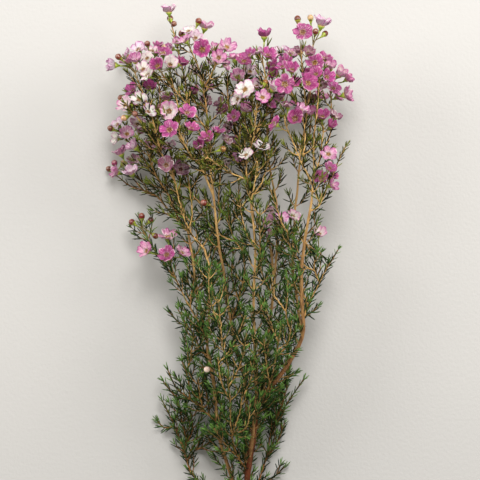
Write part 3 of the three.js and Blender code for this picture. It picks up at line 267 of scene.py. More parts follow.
# Bloom clusters, each as (the end of its twig, blooms, buds)
# blooms: (column, row, height above the twig's end, width, tint, turn, rise)
# buds: (column, row, height above the twig's end, tint).
CLUSTERS = {
    "c01": ((173, 31, 60), [
        (169, 12, 4, 16, "lilac", -5, 10),
    ], [(174, 24, 4, "copper"), (170, 18, -2, "copper")]),
    "c02": ((192, 54, 85), [
        (205, 29, 2, 17, "blush", 15, 15), (189, 33, 8, 15, "white", -10, 30),
        (196, 41, 20, 14, "lilac", 10, 50), (186, 43, 14, 15, "pink", -40, 20),
        (179, 43, -6, 12, "pink", -60, 10), (172, 49, -8, 13, "pink", -70, 15),
    ], [(199, 23, 6, "copper"), (182, 35, 4, "copper")]),
    "c03": ((213, 74, 108), [
        (203, 53, 12, 19, "magenta", -10, 75), (216, 51, 2, 16, "pink", 10, 40),
        (227, 50, 4, 17, "pink", 30, 45), (219, 61, 14, 15, "pink", 10, 70), (225, 67, -4, 13, "pink", 60, 30),
        (214, 66, -6, 14, "white", 0, 25),
    ], []),
    "c04": ((152, 64, 34), [
        (138, 49, 4, 17, "lilac", -35, 35), (126, 55, -6, 16, "lilac", -60, 10),
        (151, 50, 2, 16, "blush", 0, 30), (157, 45, -10, 12, "magenta", 10, 20),
        (147, 58, 10, 14, "white", -20, 50),
    ], [(147, 43, 8, "copper"), (164, 46, 2, "cream")]),
    "c05": ((137, 78, 78), [
        (129, 63, 0, 17, "pink", -20, 10), (136, 62, 14, 15, "pink", -10, 40),
        (115, 66, 0, 16, "lilac", -85, 10), (144, 71, 16, 15, "white", 0, 50),
    ], [(119, 58, 4, "copper")]),
    "c06": ((166, 79, 98), [
        (164, 55, -2, 17, "magenta", 0, 30), (159, 69, 12, 17, "magenta", -20, 60),
        (171, 67, 8, 16, "white", 15, 50), (149, 77, 2, 16, "white", -50, 30),
        (181, 65, 0, 14, "magenta", 40, 20),
    ], []),
    "c07": ((200, 105, 66), [
        (196, 72, -6, 15, "white", -5, 40), (208, 88, 0, 13, "pink", 20, 30),
        (195, 93, 2, 13, "magenta", -30, 40), (206, 101, 6, 13, "faded", 20, 50),
    ], []),
    "c08": ((243, 81, 17), [
        (235, 56, -8, 16, "pink", -10, 15), (244, 60, 12, 16, "magenta", 0, 50),
        (238, 76, 10, 16, "pink", -20, 60), (250, 70, 0, 15, "lilac", 20, 50),
    ], []),
    "c09": ((263, 66, 94), [
        (264, 38, 0, 17, "magenta", 0, 10), (250, 57, 2, 15, "magenta", -40, 30),
        (258, 56, -12, 15, "blush", -5, 15), (268, 58, 10, 16, "magenta", 20, 40),
    ], []),
    "c10": ((283, 74, 70), [
        (280, 53, 0, 17, "lilac", -5, 30), (291, 54, 2, 16, "pink", 15, 25),
        (274, 58, -10, 13, "magenta", -25, 30), (276, 75, 12, 15, "magenta", -60, 40),
        (285, 63, 6, 14, "magenta", 0, 45), (273, 67, 0, 14, "magenta", -40, 40),
    ], []),
    "c11": ((301, 60, 100), [
        (302, 35, 10, 19, "magenta", 0, 60), (307, 56, 12, 14, "faded", 20, 50),
        (299, 54, -2, 13, "faded", -10, 30),
    ], [(297, 21, 2, "copper")]),
    "c12": ((312, 52, 78), [
        (321, 26, 0, 19, "lilac", 15, 15),
    ], [(310, 19, 6, "cream"), (315, 33, 8, "copper"), (325, 34, -4, "copper")]),
    "c13": ((318, 87, 98), [
        (314, 65, 6, 18, "magenta", 0, 65), (324, 60, -4, 16, "magenta", 20, 30),
        (315, 77, 16, 14, "magenta", -10, 50), (326, 79, 4, 15, "magenta", 40, 50),
        (320, 87, -4, 13, "faded", 10, 60), (309, 76, 4, 14, "magenta", -30, 45),
    ], []),
    "c14": ((331, 93, 56), [
        (330, 68, 0, 16, "pink", 0, 30), (339, 75, 8, 17, "blush", 40, 30),
        (333, 89, 16, 15, "magenta", 20, 50), (345, 95, 0, 17, "pink", 75, 10),
        (337, 97, -4, 12, "pink", 60, 20), (347, 79, -2, 13, "pink", 55, 20),
    ], []),
    "c15": ((292, 97, 114), [
        (291, 73, 4, 16, "magenta", 0, 40), (282, 69, -8, 14, "magenta", -20, 30),
        (284, 87, 12, 19, "magenta", -10, 80), (307, 86, 8, 18, "magenta", 45, 60),
        (293, 84, 4, 14, "magenta", 10, 50), (281, 100, -14, 13, "pink", -40, 30),
    ], []),
    "c16": ((312, 117, 14), [
        (322, 96, 0, 15, "pink", 20, 30), (313, 99, -4, 14, "maroon", 0, 50),
        (303, 108, -2, 13, "pink", -50, 30), (306, 114, 6, 13, "pink", -30, 40),
    ], []),
    "c17": ((142, 103, 60), [
        (133, 91, 0, 15, "magenta", -50, 40), (149, 88, 6, 15, "magenta", 10, 40),
    ], [(121, 98, 2, "copper"), (130, 108, 0, "copper")]),
    "c18": ((140, 121, 86), [
        (126, 106, 2, 17, "blush", -50, 40), (140, 101, 4, 16, "white", -10, 50),
        (149, 113, 10, 15, "white", 40, 40),
    ], [(136, 115, 14, "copper"), (125, 119, 4, "cream")]),
    "c19": ((131, 142, 40), [
        (117, 124, 0, 15, "lilac", -50, 30), (137, 124, 4, 16, "lilac", 10, 50),
        (127, 134, 12, 15, "pink", -20, 60), (116, 138, -8, 13, "white", -80, 30),
        (139, 131, -6, 13, "faded", 20, 40),
    ], [(110, 128, 4, "copper")]),
    "c20": ((149, 156, 58), [
        (154, 128, -2, 16, "white", 5, 40), (151, 145, 12, 14, "pink", 10, 50),
        (135, 147, 2, 17, "lilac", -45, 15),
    ], [(159, 150, 4, "red")]),
    "c21": ((175, 130, 104), [
        (170, 113, 8, 19, "blush", -10, 75), (167, 100, -18, 15, "faded", -5, 20),
    ], [(161, 108, -6, "maroon")]),
    "c22": ((184, 142, 124), [
        (171, 132, 6, 19, "magenta", -30, 60), (188, 115, -4, 18, "magenta", 10, 40),
        (192, 131, 8, 16, "magenta", 20, 25),
    ], []),
    "c23": ((131, 176, 26), [
        (120, 153, -2, 16, "pink", -25, 10), (133, 160, 6, 15, "faded", 0, 40),
        (131, 173, 15, 16, "lilac", -25, 30), (116, 172, -6, 14, "pink", -70, 20),
    ], []),
    "c24": ((175, 181, 84), [
        (170, 148, -4, 14, "blush", -10, 30), (167, 166, 8, 17, "faded", -20, 70),
        (181, 170, 2, 16, "faded", 30, 65),
    ], []),
    "c25": ((211, 161, 102), [
        (207, 141, 2, 16, "magenta", -10, 40), (218, 133, -4, 15, "magenta", 15, 20),
        (201, 148, 6, 14, "magenta", -40, 50), (203, 158, -2, 12, "white", -60, 30),
        (226, 141, -6, 13, "faded", 40, 30),
    ], [(223, 150, 2, "gold")]),
    "c26": ((256, 114, 110), [
        (245, 92, 10, 19, "white", -30, 55), (238, 101, 2, 15, "white", -60, 40),
        (273, 91, 0, 17, "blush", 40, 30), (262, 100, 14, 15, "pink", 10, 60),
        (257, 88, -8, 15, "blush", 5, 45), (269, 106, -6, 12, "magenta", 50, 40),
    ], [(265, 84, -4, "gold")]),
    "c27": ((240, 129, 74), [
        (246, 111, 0, 16, "pink", 10, 40), (224, 112, 0, 14, "maroon", -40, 30),
        (234, 118, 10, 14, "magenta", -30, 50), (228, 128, -4, 14, "faded", -50, 40),
        (220, 104, 0, 13, "faded", -40, 20),
    ], []),
    "c28": ((288, 133, 120), [
        (287, 108, -10, 15, "pink", 0, 20), (294, 121, 8, 19, "magenta", 10, 75),
        (275, 126, 2, 16, "magenta", -60, 20), (300, 112, -4, 14, "pink", 30, 30),
    ], []),
    "c29": ((322, 137, 80), [
        (322, 118, 0, 16, "magenta", 5, 40), (334, 117, -4, 14, "faded", 35, 20),
        (312, 114, 2, 13, "pink", -25, 35), (330, 127, 2, 13, "magenta", 30, 40),
    ], []),
    "c30": ((242, 164, 52), [
        (234, 143, -2, 15, "pink", -15, 30), (251, 140, -4, 15, "pink", 15, 30),
        (239, 157, 10, 13, "pink", -20, 60), (229, 163, 2, 12, "white", -60, 30),
    ], []),
    "c31": ((256, 172, 97), [
        (246, 156, 0, 15, "white", -25, 40), (261, 149, 4, 17, "white", 10, 30),
    ], []),
    "c32": ((323, 188, 84), [
        (328, 155, 0, 17, "pink", 10, 50), (329, 169, 10, 13, "magenta", 30, 50),
        (320, 178, 2, 15, "magenta", -10, 60), (331, 186, 2, 13, "pink", 60, 30),
        (331, 176, -6, 13, "magenta", 50, 30),
    ], []),
    "c33": ((283, 241, 58), [
        (272, 211, -4, 15, "faded", -20, 30), (270, 223, 10, 15, "pink", -50, 40),
        (281, 219, 14, 15, "pink", 0, 50), (271, 234, -4, 13, "pink", -80, 20),
        (293, 216, 0, 15, "blush", 30, 30),
    ], []),
    "c34": ((315, 252, 62), [
        (319, 234, 2, 15, "blush", 10, 40),
    ], []),
    "c35": ((170, 264, 53), [
        (168, 237, 0, 19, "pink", -5, 30), (147, 251, 4, 17, "pink", -60, 40),
        (167, 255, 16, 17, "magenta", -20, 60), (182, 253, 6, 16, "pink", 30, 30),
    ], []),
    "c36": ((144, 233, 30), [], [
        (131, 222, -2, "red"), (141, 216, 4, "red"), (150, 220, -2, "copper"), (155, 236, 4, "copper"),
    ]),
    "c37": ((118, 177, 7), [], [(107, 168, 0, "copper"), (113, 162, 6, "magenta"), (122, 162, -2, "cream")]),
}

# Growth of the wood and twigs, in millimetres and degrees.
# Single buds on their own stalks among the leaves: column, row, height and tint. Each stalk starts
# on the wood or twig nearest to a point this far behind and below its bud.
LONE_BUDS = ((207, 369, 74, "ivory"), (204, 203, 98, "red"))
LONE_BUD_ROOT = Vector((0, -9, -9))

# Wood: its drift, its knots and its bark.
SWAY_REACH = 28
SWAY_SEED = 7
LIMB_RING_STEP = 3.0
BARK_SIDES = 10
KNOT = 0.55
KNOT_FLOOR = 0.22
KNOT_REACH = 9
UNEVENNESS = 0.12
UNEVEN_REACH = 5
YOUNG_BARK_RADIUS = 0.9
BARK_AGEING = 2.2
CUT_EDGE = 0.45

# Needles. Leans and turns are in degrees, a needle's size is a share of its full length, and its
# age runs from 0 for grown to 1 for young. Pairs are ranges of random draws.
NEEDLE_SIDES = 4
NEEDLE_AGES = (0.0, 0.3, 0.6, 1.0)
NEEDLE_BENDS = (0.02, 0.07, 0.13)
NEEDLE_PROFILE = ((0.0, 0.7), (0.35, 1.0), (0.75, 0.85), (1.0, 0.3))
# How far off its middle line a needle's inner side starts, and how much younger that side is marked: partly its
# own paler channel, partly a painted highlight.
INNER_SIDE = 0.15
INNER_CHANNEL_AND_HIGHLIGHT = 0.1
FLOOR_MARGIN = 0.4
NEEDLE_LEAN = 41
LEAN_SPREAD = 7
LEAN_DROP = 10
NEEDLE_SIZES = (0.72, 1.1)
NEEDLE_TAPER = 0.3
FIRST_GAPS = (0.4, 1.0)
PAIR_GAPS = (0.75, 1.25)
PAIR_TWIST = 18
GROWING = 0.28
GROWTH = (0.2, 0.9)
FRESHNESS = 0.9
FRESH_POWER = 5
TUFT = 4
TUFT_TWIST = 0.3
TUFT_LEANS = (12, 30)
TUFT_SIZES = (0.5, 0.85)
TUFT_AGES = (0.35, 1)

# Twigs and side shoots. A shoot's bends are (lean in degrees, share of its length, radius).
TWIG_RING_STEP = 4.0
TWIG_SIDES = 5
ROOT_STOPS = 3
HUB_STOPS = ((0.5, 0.65), (1.0, 0.5))
BARE_TIP = 11
SHOOT_RADIUS = 0.7
SHOOT_BENDS = ((46, 0.25, 0.6), (29, 0.4, 0.5), (16, 0.35, 0.35))
SHOOT_MARGIN = 4
SHOOT_CEILING = 130
SHOOT_SHARE = 0.8
SHOOT_LENGTHS = (0.45, 1.1)
SHOOT_GAPS = (0.7, 1.3)
SHOOT_STARTS = (4, 14)
SHOOT_TWIST = 25
SHOOT_BARE = 3.0
TWIG_FACTOR = 1.35
HUB_SPRIGS = 3
SPRIG_LENGTHS = (0.35, 0.65)
SPRIG_TWIST = 0.4
SPRIG_BARE = 2.0

# How woody each kind of twig is at its root and at its tip.
WOODINESS = {"flowering_twig": (1.0, 0.7), "leafy_shoot": (1.0, 0.4), "shoot": (1.0, 0.5), "sprig": (0.9, 0.5)}

# Side shoots stand this far apart at the sparse row and above it, and at the dense row and below.
SPARSE_ROW = 180
DENSE_ROW = 360
SPARSE_GAP = 16
DENSE_GAP = 9
TOP_SHOOT_ROW = 78
BARE_ROW = 500
# Up here, right of this column, the spray is so open that they stand this much further apart.
OPEN_COLUMN = 284
OPEN_ROW = 235
OPEN_FACTOR = 2.4
# Between these columns and rows, behind the blooms, they stand closer.
FILLED = ((150, 280), (80, 180))
FILLED_FACTOR = 0.42
# How far they reach: (row, leftmost column, rightmost column).
SPREAD = (
    (42, 150, 322), (60, 122, 322), (78, 112, 330), (100, 116, 340), (170, 118, 334),
    (200, 156, 330), (212, 126, 326), (232, 124, 325), (252, 150, 328), (260, 156, 330),
    (300, 178, 314), (345, 186, 298), (370, 172, 298), (430, 166, 280), (500, 190, 282),
)

# Petals, as shares of their bloom's reach. Pairs are ranges of random draws, in degrees for angles.
PETALS = 5
PETAL_ROOT = 0.31
PETAL_REACH = 1.19
PETAL_STRETCH = 1.3
PETAL_GRID = 5
PETAL_RISES = (12, 48)
PETAL_CURLS = (-6, 24)
PETAL_LEANS = (-9, 9)
PETAL_WIDTHS = (0.50, 0.60)
PETAL_ROLL = 0.22
ROLLS = (-0.08, 0.08)
RUFFLES = (0.06, 0.15)
PETAL_SHADES = (0.78, 1.12)
PETAL_TURNS = (-5, 5)
PETAL_CUPPING = 0.16
RUFFLE_ALONG = 0.5
RUFFLE_WAVES = (5, 4)
BLOOM_SHADES = (0.86, 1.08)
BLOOM_CASTS = (0.96, 1.04)
AGE_SPREAD = 0.25

# Stamens, stalks, cups and buds.
STAMENS = 11
STAMEN_SIDES = 4
STAMEN_LINE = (
    (0.345, -0.02, 0.022), (0.375, 0.08, 0.02), (0.34, 0.16, 0.018), (0.285, 0.195, 0.05), (0.25, 0.19, 0.03),
)
STAMEN_HEAD = 0.6
STAMEN_TURN = 0.4
STAMEN_SIZES = (0.7, 1.1)
STYLE_SIDES = 4
STYLE_UP = 0.4
STYLE_PROFILE = ((-0.1, 0.035), (0.1, 0.028), (0.22, 0.024), (0.27, 0.05), (0.3, 0.03))
STALK_SIDES = 5
STALK_STOPS = 6
STALK_AGE = 0.4
STALK_SINK = 0.3
CUP_SIDES = 10
BUD_SIDES = 10
BUD_FOLD = 0.04
BUD_FOOT = 1.9
BUD_SIZES = (1.0, 1.15)
BUD_SHADES = (0.85, 1.1)
WELD = 1e-4

# The stage: each light's name, place in metres, size and power.
FLOOR_HALF = 3
FLOOR_GRID = 8
SKY_STRENGTH = 0.32
SKY_COLOUR = (1.0, 0.98, 0.91, 1.0)
LIGHT_COLOUR = (1.0, 0.99, 0.98)
LIGHTS = (
    ("window", (0.12, 0.95, 1.5), 0.9, 24.5),
    ("left_lamp", (-1.4, 0.7, 0.9), 0.8, 14.5),
    ("right_lamp", (1.4, 0.7, 0.9), 0.8, 14.5),
)

# What the operators share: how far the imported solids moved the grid, and the finishes made so far.
STATE = {}
FINISHES = {}

# What each tint of bloom is: its petal material, the colours of its petals at their foot and at
# their edge, and how old its eye is, from 0 for lime green to 1 for maroon. All colours are given
# as seen on a screen.
TINTS = {
    "white": ("petal_pale", (0.97, 0.95, 0.89), (0.95, 0.86, 0.88), 0.3),
    "blush": ("petal_pale", (0.96, 0.90, 0.88), (0.88, 0.52, 0.73), 0.35),
    "lilac": ("petal_pink", (0.95, 0.87, 0.89), (0.87, 0.64, 0.79), 0.4),
    "pink": ("petal_pink", (0.93, 0.70, 0.80), (0.81, 0.38, 0.65), 0.4),
    "magenta": ("petal_magenta", (0.62, 0.18, 0.46), (0.84, 0.37, 0.66), 0.5),
    # Faded blooms: an old bloom's dull colour, also used as painted shade on blooms that sit deep among the
    # others.
    "faded": ("petal_pink", (0.70, 0.52, 0.56), (0.52, 0.33, 0.40), 1.0),
    "maroon": ("petal_magenta", (0.42, 0.15, 0.25), (0.46, 0.18, 0.31), 1.0),
}
BUD_TINTS = {
    "copper": (0.44, 0.17, 0.07),
    "cream": (0.80, 0.68, 0.48),
    "gold": (0.62, 0.42, 0.20),
    "ivory": (0.93, 0.87, 0.80),
    "red": (0.48, 0.11, 0.06),
    "magenta": (0.60, 0.24, 0.38),
    "maroon": (0.38, 0.12, 0.14),
}

# The pieces of the blooms, by their slots.
BLOOM_PIECES = {
    "petal_pale": "petals_pale",
    "petal_pink": "petals_pink",
    "petal_magenta": "petals_magenta",
    "cup": "cups",
    "anther": "stamens",
    "bud": "buds",
}

# Each petal finish: the colour of its veins and rim, and how strongly veins, painted highlights, rim and throat
# show.
PETAL_AMOUNTS = ("Vein Amount", "Painted Highlight Amount", "Rim Amount", "Throat Amount")
PETAL_LOOKS = {
    "petal_pale": ((0.72, 0.34, 0.58), (0.25, 0.5, 0.75, 0.8)),
    "petal_pink": ((0.56, 0.20, 0.44), (0.5, 0.7, 0.7, 0.5)),
    "petal_magenta": ((0.42, 0.07, 0.30), (0.6, 0.45, 0.55, 0.1)),
}

# Each kind of finish: its specular level, its roughness where its mask is 0 and where it is 1, and
# its relief as (scale of the grain, share of the grain, depth in metres).
LOOKS = {
    "bark": (0.3, (0.72, 0.92), (1800.0, 0.5, 0.0004)),
    "leaf": (0.1, (0.4, 0.6), (2200.0, 0.4, 0.00015)),
    "petal": (0.5, (0.36, 0.36), (900.0, 0.5, 0.0009)),
    "cup": (0.5, (0.3, 0.42), (1500.0, 0.3, 0.0002)),
    "anther": (0.5, (0.45, 0.8), (3000.0, 0.5, 0.0001)),
    "bud": (0.5, (0.18, 0.3), (1200.0, 0.3, 0.0002)),
    "floor": (0.2, (0.75, 0.75), (260.0, 1.0, 0.0003)),
}
MORE_LOOKS = {
    "petal": {"Subsurface Weight": 0.35, "Subsurface Radius": (1.0, 0.6, 0.8), "Subsurface Scale": 0.002},
    "bud": {"Coat Weight": 0.6, "Coat Roughness": 0.22},
}

# Patches: their scale, their stretch along the stem, and where their soft edge starts and ends.
MOTTLES = {
    "bark_streaks": (900.0, 0.12, 0.42, 0.62),
    "bark_patches": (60.0, 0.6, 0.35, 0.65),
    "bark_flecks": (700.0, 1.6, 0.62, 0.7),
    "leaf_patches": (55.0, 1.0, 0.47, 0.72),
    "leaf_grain": (500.0, 0.5, 0.4, 0.7),
    "cup_patches": (160.0, 1.0, 0.35, 0.65),
    "eye_spots": (420.0, 1.0, 0.46, 0.56),
    "anther_patches": (260.0, 1.0, 0.4, 0.6),
    "bud_patches": (350.0, 1.0, 0.4, 0.65),
    "floor_clouds": (1.6, 1.0, 0.3, 0.7),
}

# Soft steps: where each starts and ends, and what it goes from and to if that isn't from 0 to 1.
STEPS = {
    "vein": (0.5, 0.68),
    "painted_highlight": (0.46, 0.3),
    "petal_end": (0.76, 0.98),
    "petal_side": (0.6, 0.98),
    "pale_rim": (0.5, 0.62),
    "throat": (0.0, 0.34, 1.0, 0.0),
    "streaks_by_age": (0.0, 1.0, 0.3, 0.6),
    "up_the_stem": (0.02, 0.15),
    "over_the_floor": (0.02, 0.09),
    "gland": (0.15, 0.4, 1.0, 0.0),
    "lip": (0.7, 1.0),
    "stalk": (-0.7, 0.1, 1.0, 0.0),
    "eye": (1.0, 1.5),
    "painted_bud_highlight": (0.86, 1.0),
    "bud_skin": (0.2, 0.62),
}
GLAND_SCALE = 1300.0

# The veins of a petal: how far they shift from place to place, how many stand side by side, and the
# scale, detail, distortion and relief of the noise that draws them.
VEIN_SHIFT = (70, 70, 70)
VEINS_ACROSS = 5.5
VEIN_NOISE = (1.6, 3.0, 0.4)
VEIN_RELIEF = 1.6
RIM_NOISE = (90.0, 1.0)
MOTTLE_DETAIL = 3.0
GRAIN_DETAIL = 2.0

# Colours that aren't settings, each with the share that it takes where its mask is 1.
SHADES = {
    "bark_patch": ((0.46, 0.25, 0.12), 0.35),
    "bark_streak": ((0.34, 0.20, 0.12), 1),
    "bark_fleck": ((0.78, 0.64, 0.45), 0.5),
    "upper_dark": ((0.055, 0.055, 0.015), 1),
    "medium_leaf": ((0.15, 0.31, 0.13), 1),
    "upper_medium": ((0.17, 0.175, 0.045), 1),
    "upper_fresh": ((0.53, 0.56, 0.21), 1),
    "lower_twig": ((0.60, 0.42, 0.25), 1),
    "twig_patch": ((0.56, 0.36, 0.20), 0.7),
    "leaf_fleck": ((0.11, 0.12, 0.04), 0.2),
    "cup_patch": ((0.50, 0.61, 0.18), 1),
    "oil_gland": ((0.34, 0.44, 0.10), 0.35),
    "fresh_lip": ((0.80, 0.68, 0.40), 1),
    "old_lip": ((0.62, 0.34, 0.34), 1),
    "eye_spot": ((0.40, 0.22, 0.10), 0.75),
    "anther_patch": ((0.50, 0.29, 0.15), 1),
    "bud_patch": ((0.26, 0.11, 0.07), 0.45),
    # A painted highlight on the tip of each bud.
    "painted_bud_highlight": ((0.85, 0.66, 0.56), 0.25),
    "bud_foot": ((0.45, 0.36, 0.14), 1),
    "floor_cloud": ((0.75, 0.745, 0.735), 0.35),
}

# Cups and buds are turned from profiles of (height, radius). A cup's are shares of the bloom's
# reach above its foot's ring, a bud's are shares of the bud's radius. The last number is how far
# up the piece its colour is.
CUP_PROFILE = (
    (-0.48, 0.21, 0.15), (-0.32, 0.36, 0.4), (-0.15, 0.44, 0.7), (-0.04, 0.43, 0.95), (0.02, 0.35, 1.1),
    (0.0, 0.30, 1.3), (-0.08, 0.24, 1.7), (-0.10, 0.10, 2.0), (-0.06, 0.0, 2.0),
)
BUD_PROFILE = (
    (-1.9, 0.28, 0.0), (-1.4, 0.44, 0.1), (-0.9, 0.70, 0.2), (-0.5, 0.90, 0.32), (-0.34, 0.97, 0.6),
    (0.12, 1.0, 0.8), (0.52, 0.86, 0.9), (0.84, 0.54, 1.0), (1.0, 0.22, 1.0), (1.06, 0.0, 1.0),
)


def to_linear(colour):
    """A colour as seen on a screen, as the shaders take it."""
    return tuple(c / 12.92 if c <= 0.04045 else ((c + 0.055) / 1.055) ** 2.4 for c in colour)


def length_setting(name, description, millimetres):
    return bpy.props.FloatProperty(
        name=name, description=description, default=millimetres * MM, min=0, unit="LENGTH", precision=5
    )


def colour_setting(name, description, colour):
    return bpy.props.FloatVectorProperty(
        name=name, description=description, default=colour, size=3, min=0, max=1, subtype="COLOR_GAMMA"
    )


class WaxflowerSizes(bpy.types.PropertyGroup):
    needle_length: length_setting("Needle length", "Length of a full grown needle leaf", 11.8)
    needle_radius: length_setting("Needle radius", "Half the thickness of a needle leaf", 0.74)
    leafy_spacing: length_setting("Leafy spacing", "Distance between the needle pairs of a leafy shoot", 3.9)
    flowering_spacing: length_setting(
        "Flowering spacing", "Distance between the pairs of a flowering twig", 5.4
    )
    shoot_length: length_setting("Side shoot length", "Length of a usual side shoot on the wood", 24)
    petal_thickness: length_setting("Petal thickness", "Thickness of a petal's blade", 0.42)
    camera_distance: length_setting("Camera distance", "From the camera to the middle of the stem", 4000)
    seed: bpy.props.IntProperty(name="Seed", description="Start of all random draws", default=7)


class WaxflowerColours(bpy.types.PropertyGroup):
    old_bark: colour_setting("Old bark", "Reddish brown bark low on the stem", (0.43, 0.19, 0.09))
    young_bark: colour_setting("Young bark", "Tan bark of the upper limbs", (0.89, 0.73, 0.46))
    cut_wood: colour_setting("Cut wood", "Pale wood of the cut end", (0.83, 0.72, 0.52))
    needle: colour_setting("Needle", "Grown needle leaves", (0.055, 0.125, 0.045))
    young_needle: colour_setting("Young needle", "Needles at the growing tips", (0.43, 0.58, 0.27))
    twig: colour_setting("Twig", "Skin of the young twigs", (0.90, 0.73, 0.46))
    stalk: colour_setting("Stalk", "Thin stalks under the cups and buds", (0.44, 0.38, 0.15))
    throat: colour_setting("Throat", "Waxy pale foot of every petal", (0.97, 0.92, 0.89))
    cup: colour_setting("Cup", "Lime green cup under the petals", (0.70, 0.78, 0.28))
    fresh_eye: colour_setting("Fresh eye", "Floor of a young bloom's cup", (0.72, 0.54, 0.20))
    old_eye: colour_setting("Old eye", "Floor of an old bloom's cup", (0.34, 0.15, 0.12))
    anther: colour_setting("Anther", "Pollen heads of the stamens", (0.78, 0.60, 0.30))
    floor: colour_setting("Floor", "Plain floor that the stem lies on", (0.795, 0.785, 0.77))


# Laying out.


@dataclass
class Bloom:
    """A bloom, or a bud where it has no axis, in millimetres on the grid."""

    cluster: str
    place: list
    width: float
    tint: str
    axis: Vector


def grid_point(column, row, height):
    return ((column - GRID_MIDDLE) * GRID_STEP, (GRID_FOOT - row) * GRID_STEP, height)


def path_points(path):
    return [Vector(grid_point(*(CLUSTERS[stop][0] if isinstance(stop, str) else stop))) for stop in path]


def facing(turn, rise):
    side, up = math.radians(turn), math.radians(rise)
    return Vector((math.sin(side) * math.cos(up), math.cos(side) * math.cos(up), math.sin(up)))


def cross_direction(axis):
    """A direction at right angles to the axis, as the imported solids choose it."""
    helper = Vector((0, 0, 1)) if abs(axis.z) < STEEP else Vector((0, 1, 0))
    return helper.cross(axis).normalized()


def carry_direction(direction, axis):
    """The same direction, tipped over to a new axis with no twist."""
    return (direction - axis * axis.dot(direction)).normalized()


def collect_blooms():
    blooms = []
    for name, (tip, opened, closed) in CLUSTERS.items():
        for column, row, above, width, tint, turn, rise in opened:
            place = list(grid_point(column, row, tip[2] + above))
            blooms.append(Bloom(name, place, width, tint, facing(turn, rise)))
        for column, row, above, tint in closed:
            place = list(grid_point(column, row, tip[2] + above))
            blooms.append(Bloom(name, place, 2 * BUD_RADIUS, tint, None))
    return blooms


def layout_segments():
    """The straight stretches of all limbs and twigs, as pairs of plain points."""
    paths = [[grid_point(*stop[:3]) for stop in limb] for limb in LIMBS]
    for twig in TWIGS.values():
        for path in twig:
            stops = [CLUSTERS[stop][0] if isinstance(stop, str) else stop for stop in path]
            paths.append([grid_point(*stop) for stop in stops])
    return [pair for path in paths for pair in zip(path, path[1:])]


def room_over(need, across, along):
    """How far apart in height two things must be, when they lie this far apart on the grid."""
    return math.sqrt(max(need * need - across * across - along * along, 0))


def rooms_between(blooms):
    """For each bloom, the later ones that it may touch and the height to keep from them."""
    rooms = []
    for number, bloom in enumerate(blooms):
        near = []
        for later in range(number + 1, len(blooms)):
            other = blooms[later]
            need = (bloom.width + other.width) / 2 * BLOOM_SHARE + BLOOM_CLEARANCE
            room = room_over(need, bloom.place[0] - other.place[0], bloom.place[1] - other.place[1])
            if room > 0:
                near.append((other, room))
        rooms.append(near)
    return rooms


def rooms_over_twigs(blooms, segments):
    """For each bloom, the heights at which twigs pass it and the height to keep from them."""
    rooms = []
    for bloom in blooms:
        near = []
        for start, end in segments:
            dx, dy = end[0] - start[0], end[1] - start[1]
            px, py = bloom.place[0] - start[0], bloom.place[1] - start[1]
            share = min(max((px * dx + py * dy) / (dx * dx + dy * dy), 0), 1)
            room = room_over(bloom.width * TWIG_SHARE + TWIG_CLEARANCE, px - dx * share, py - dy * share)
            if room > 0:
                near.append((start[2] + (end[2] - start[2]) * share, room))
        rooms.append(near)
    return rooms


def spread_blooms(blooms, segments):
    """Moves blooms up or down, a little in each pass, until they clear each other and the twigs."""
    between, over_twigs = rooms_between(blooms), rooms_over_twigs(blooms, segments)
    for _ in range(SPREAD_PASSES):
        for bloom, near, levels in zip(blooms, between, over_twigs):
            for other, room in near:
                apart = bloom.place[2] - other.place[2]
                step = max(room - abs(apart), 0) * BLOOM_STEP * (1 if apart >= 0 else -1)
                bloom.place[2] += step
                other.place[2] -= step
            for level, room in levels:
                apart = bloom.place[2] - level
                bloom.place[2] += max(room - abs(apart), 0) * TWIG_STEP * (1 if apart >= 0 else -1)
            bloom.place[2] = max(bloom.place[2], LOWEST_BLOOM)


def grid_to_frame():
    """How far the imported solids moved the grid, in millimetres: from the box of the woody stem."""
    low = Vector((math.inf, math.inf, math.inf))
    for limb in LIMBS:
        points = path_points([stop[:3] for stop in limb])
        sides = LIMB_SIDES if limb[0][3] > THIN_LIMB_RADIUS else THIN_LIMB_SIDES
        direction = None
        for place, point in enumerate(points):
            axis = (points[min(place + 1, len(points) - 1)] - points[max(place - 1, 0)]).normalized()
            direction = carry_direction(direction, axis) if direction else cross_direction(axis)
            for side in range(sides):
                turned = Matrix.Rotation(math.tau * side / sides, 3, axis) @ direction
                corner = point + turned * limb[place][3]
                low = Vector(map(min, low, corner))
    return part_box("woody_stem")[0] / MM - low


def sway(point):
    """A slight drift that depends only on the place, so that what is joined stays joined."""
    noise.seed_set(SWAY_SEED)
    return noise.noise_vector(point / SWAY_REACH)


def route_axes(route):
    last = len(route) - 1
    return [(route[min(n + 1, last)][0] - route[max(n - 1, 0)][0]).normalized() for n in range(last + 1)]


def smooth_route(stops, step, drift=True):
    """Stops (point, radius) on a smooth line through the given ones, about a step apart."""
    leans, route = route_axes(stops), []
    for n in range(len(stops) - 1):
        (start, wide), (end, narrow) = stops[n], stops[n + 1]
        handle = (end - start).length / 3
        count = max(2, round((end - start).length / step) + 1)
        line = interpolate_bezier(start, start + leans[n] * handle, end - leans[n + 1] * handle, end, count)
        route += [(p, wide + (narrow - wide) * k / (count - 1)) for k, p in enumerate(line[:-1])]
    route.append(stops[-1])
    return [(point + sway(point) if drift else point, radius) for point, radius in route]


def twig_radius(share):
    return TWIG_ROOT_RADIUS + (TWIG_TIP_RADIUS - TWIG_ROOT_RADIUS) * share


def twig_route(path):
    points = path_points(path)
    last = len(points) - 1
    return smooth_route([(point, twig_radius(n / last)) for n, point in enumerate(points)], TWIG_RING_STEP)


# Modelling.


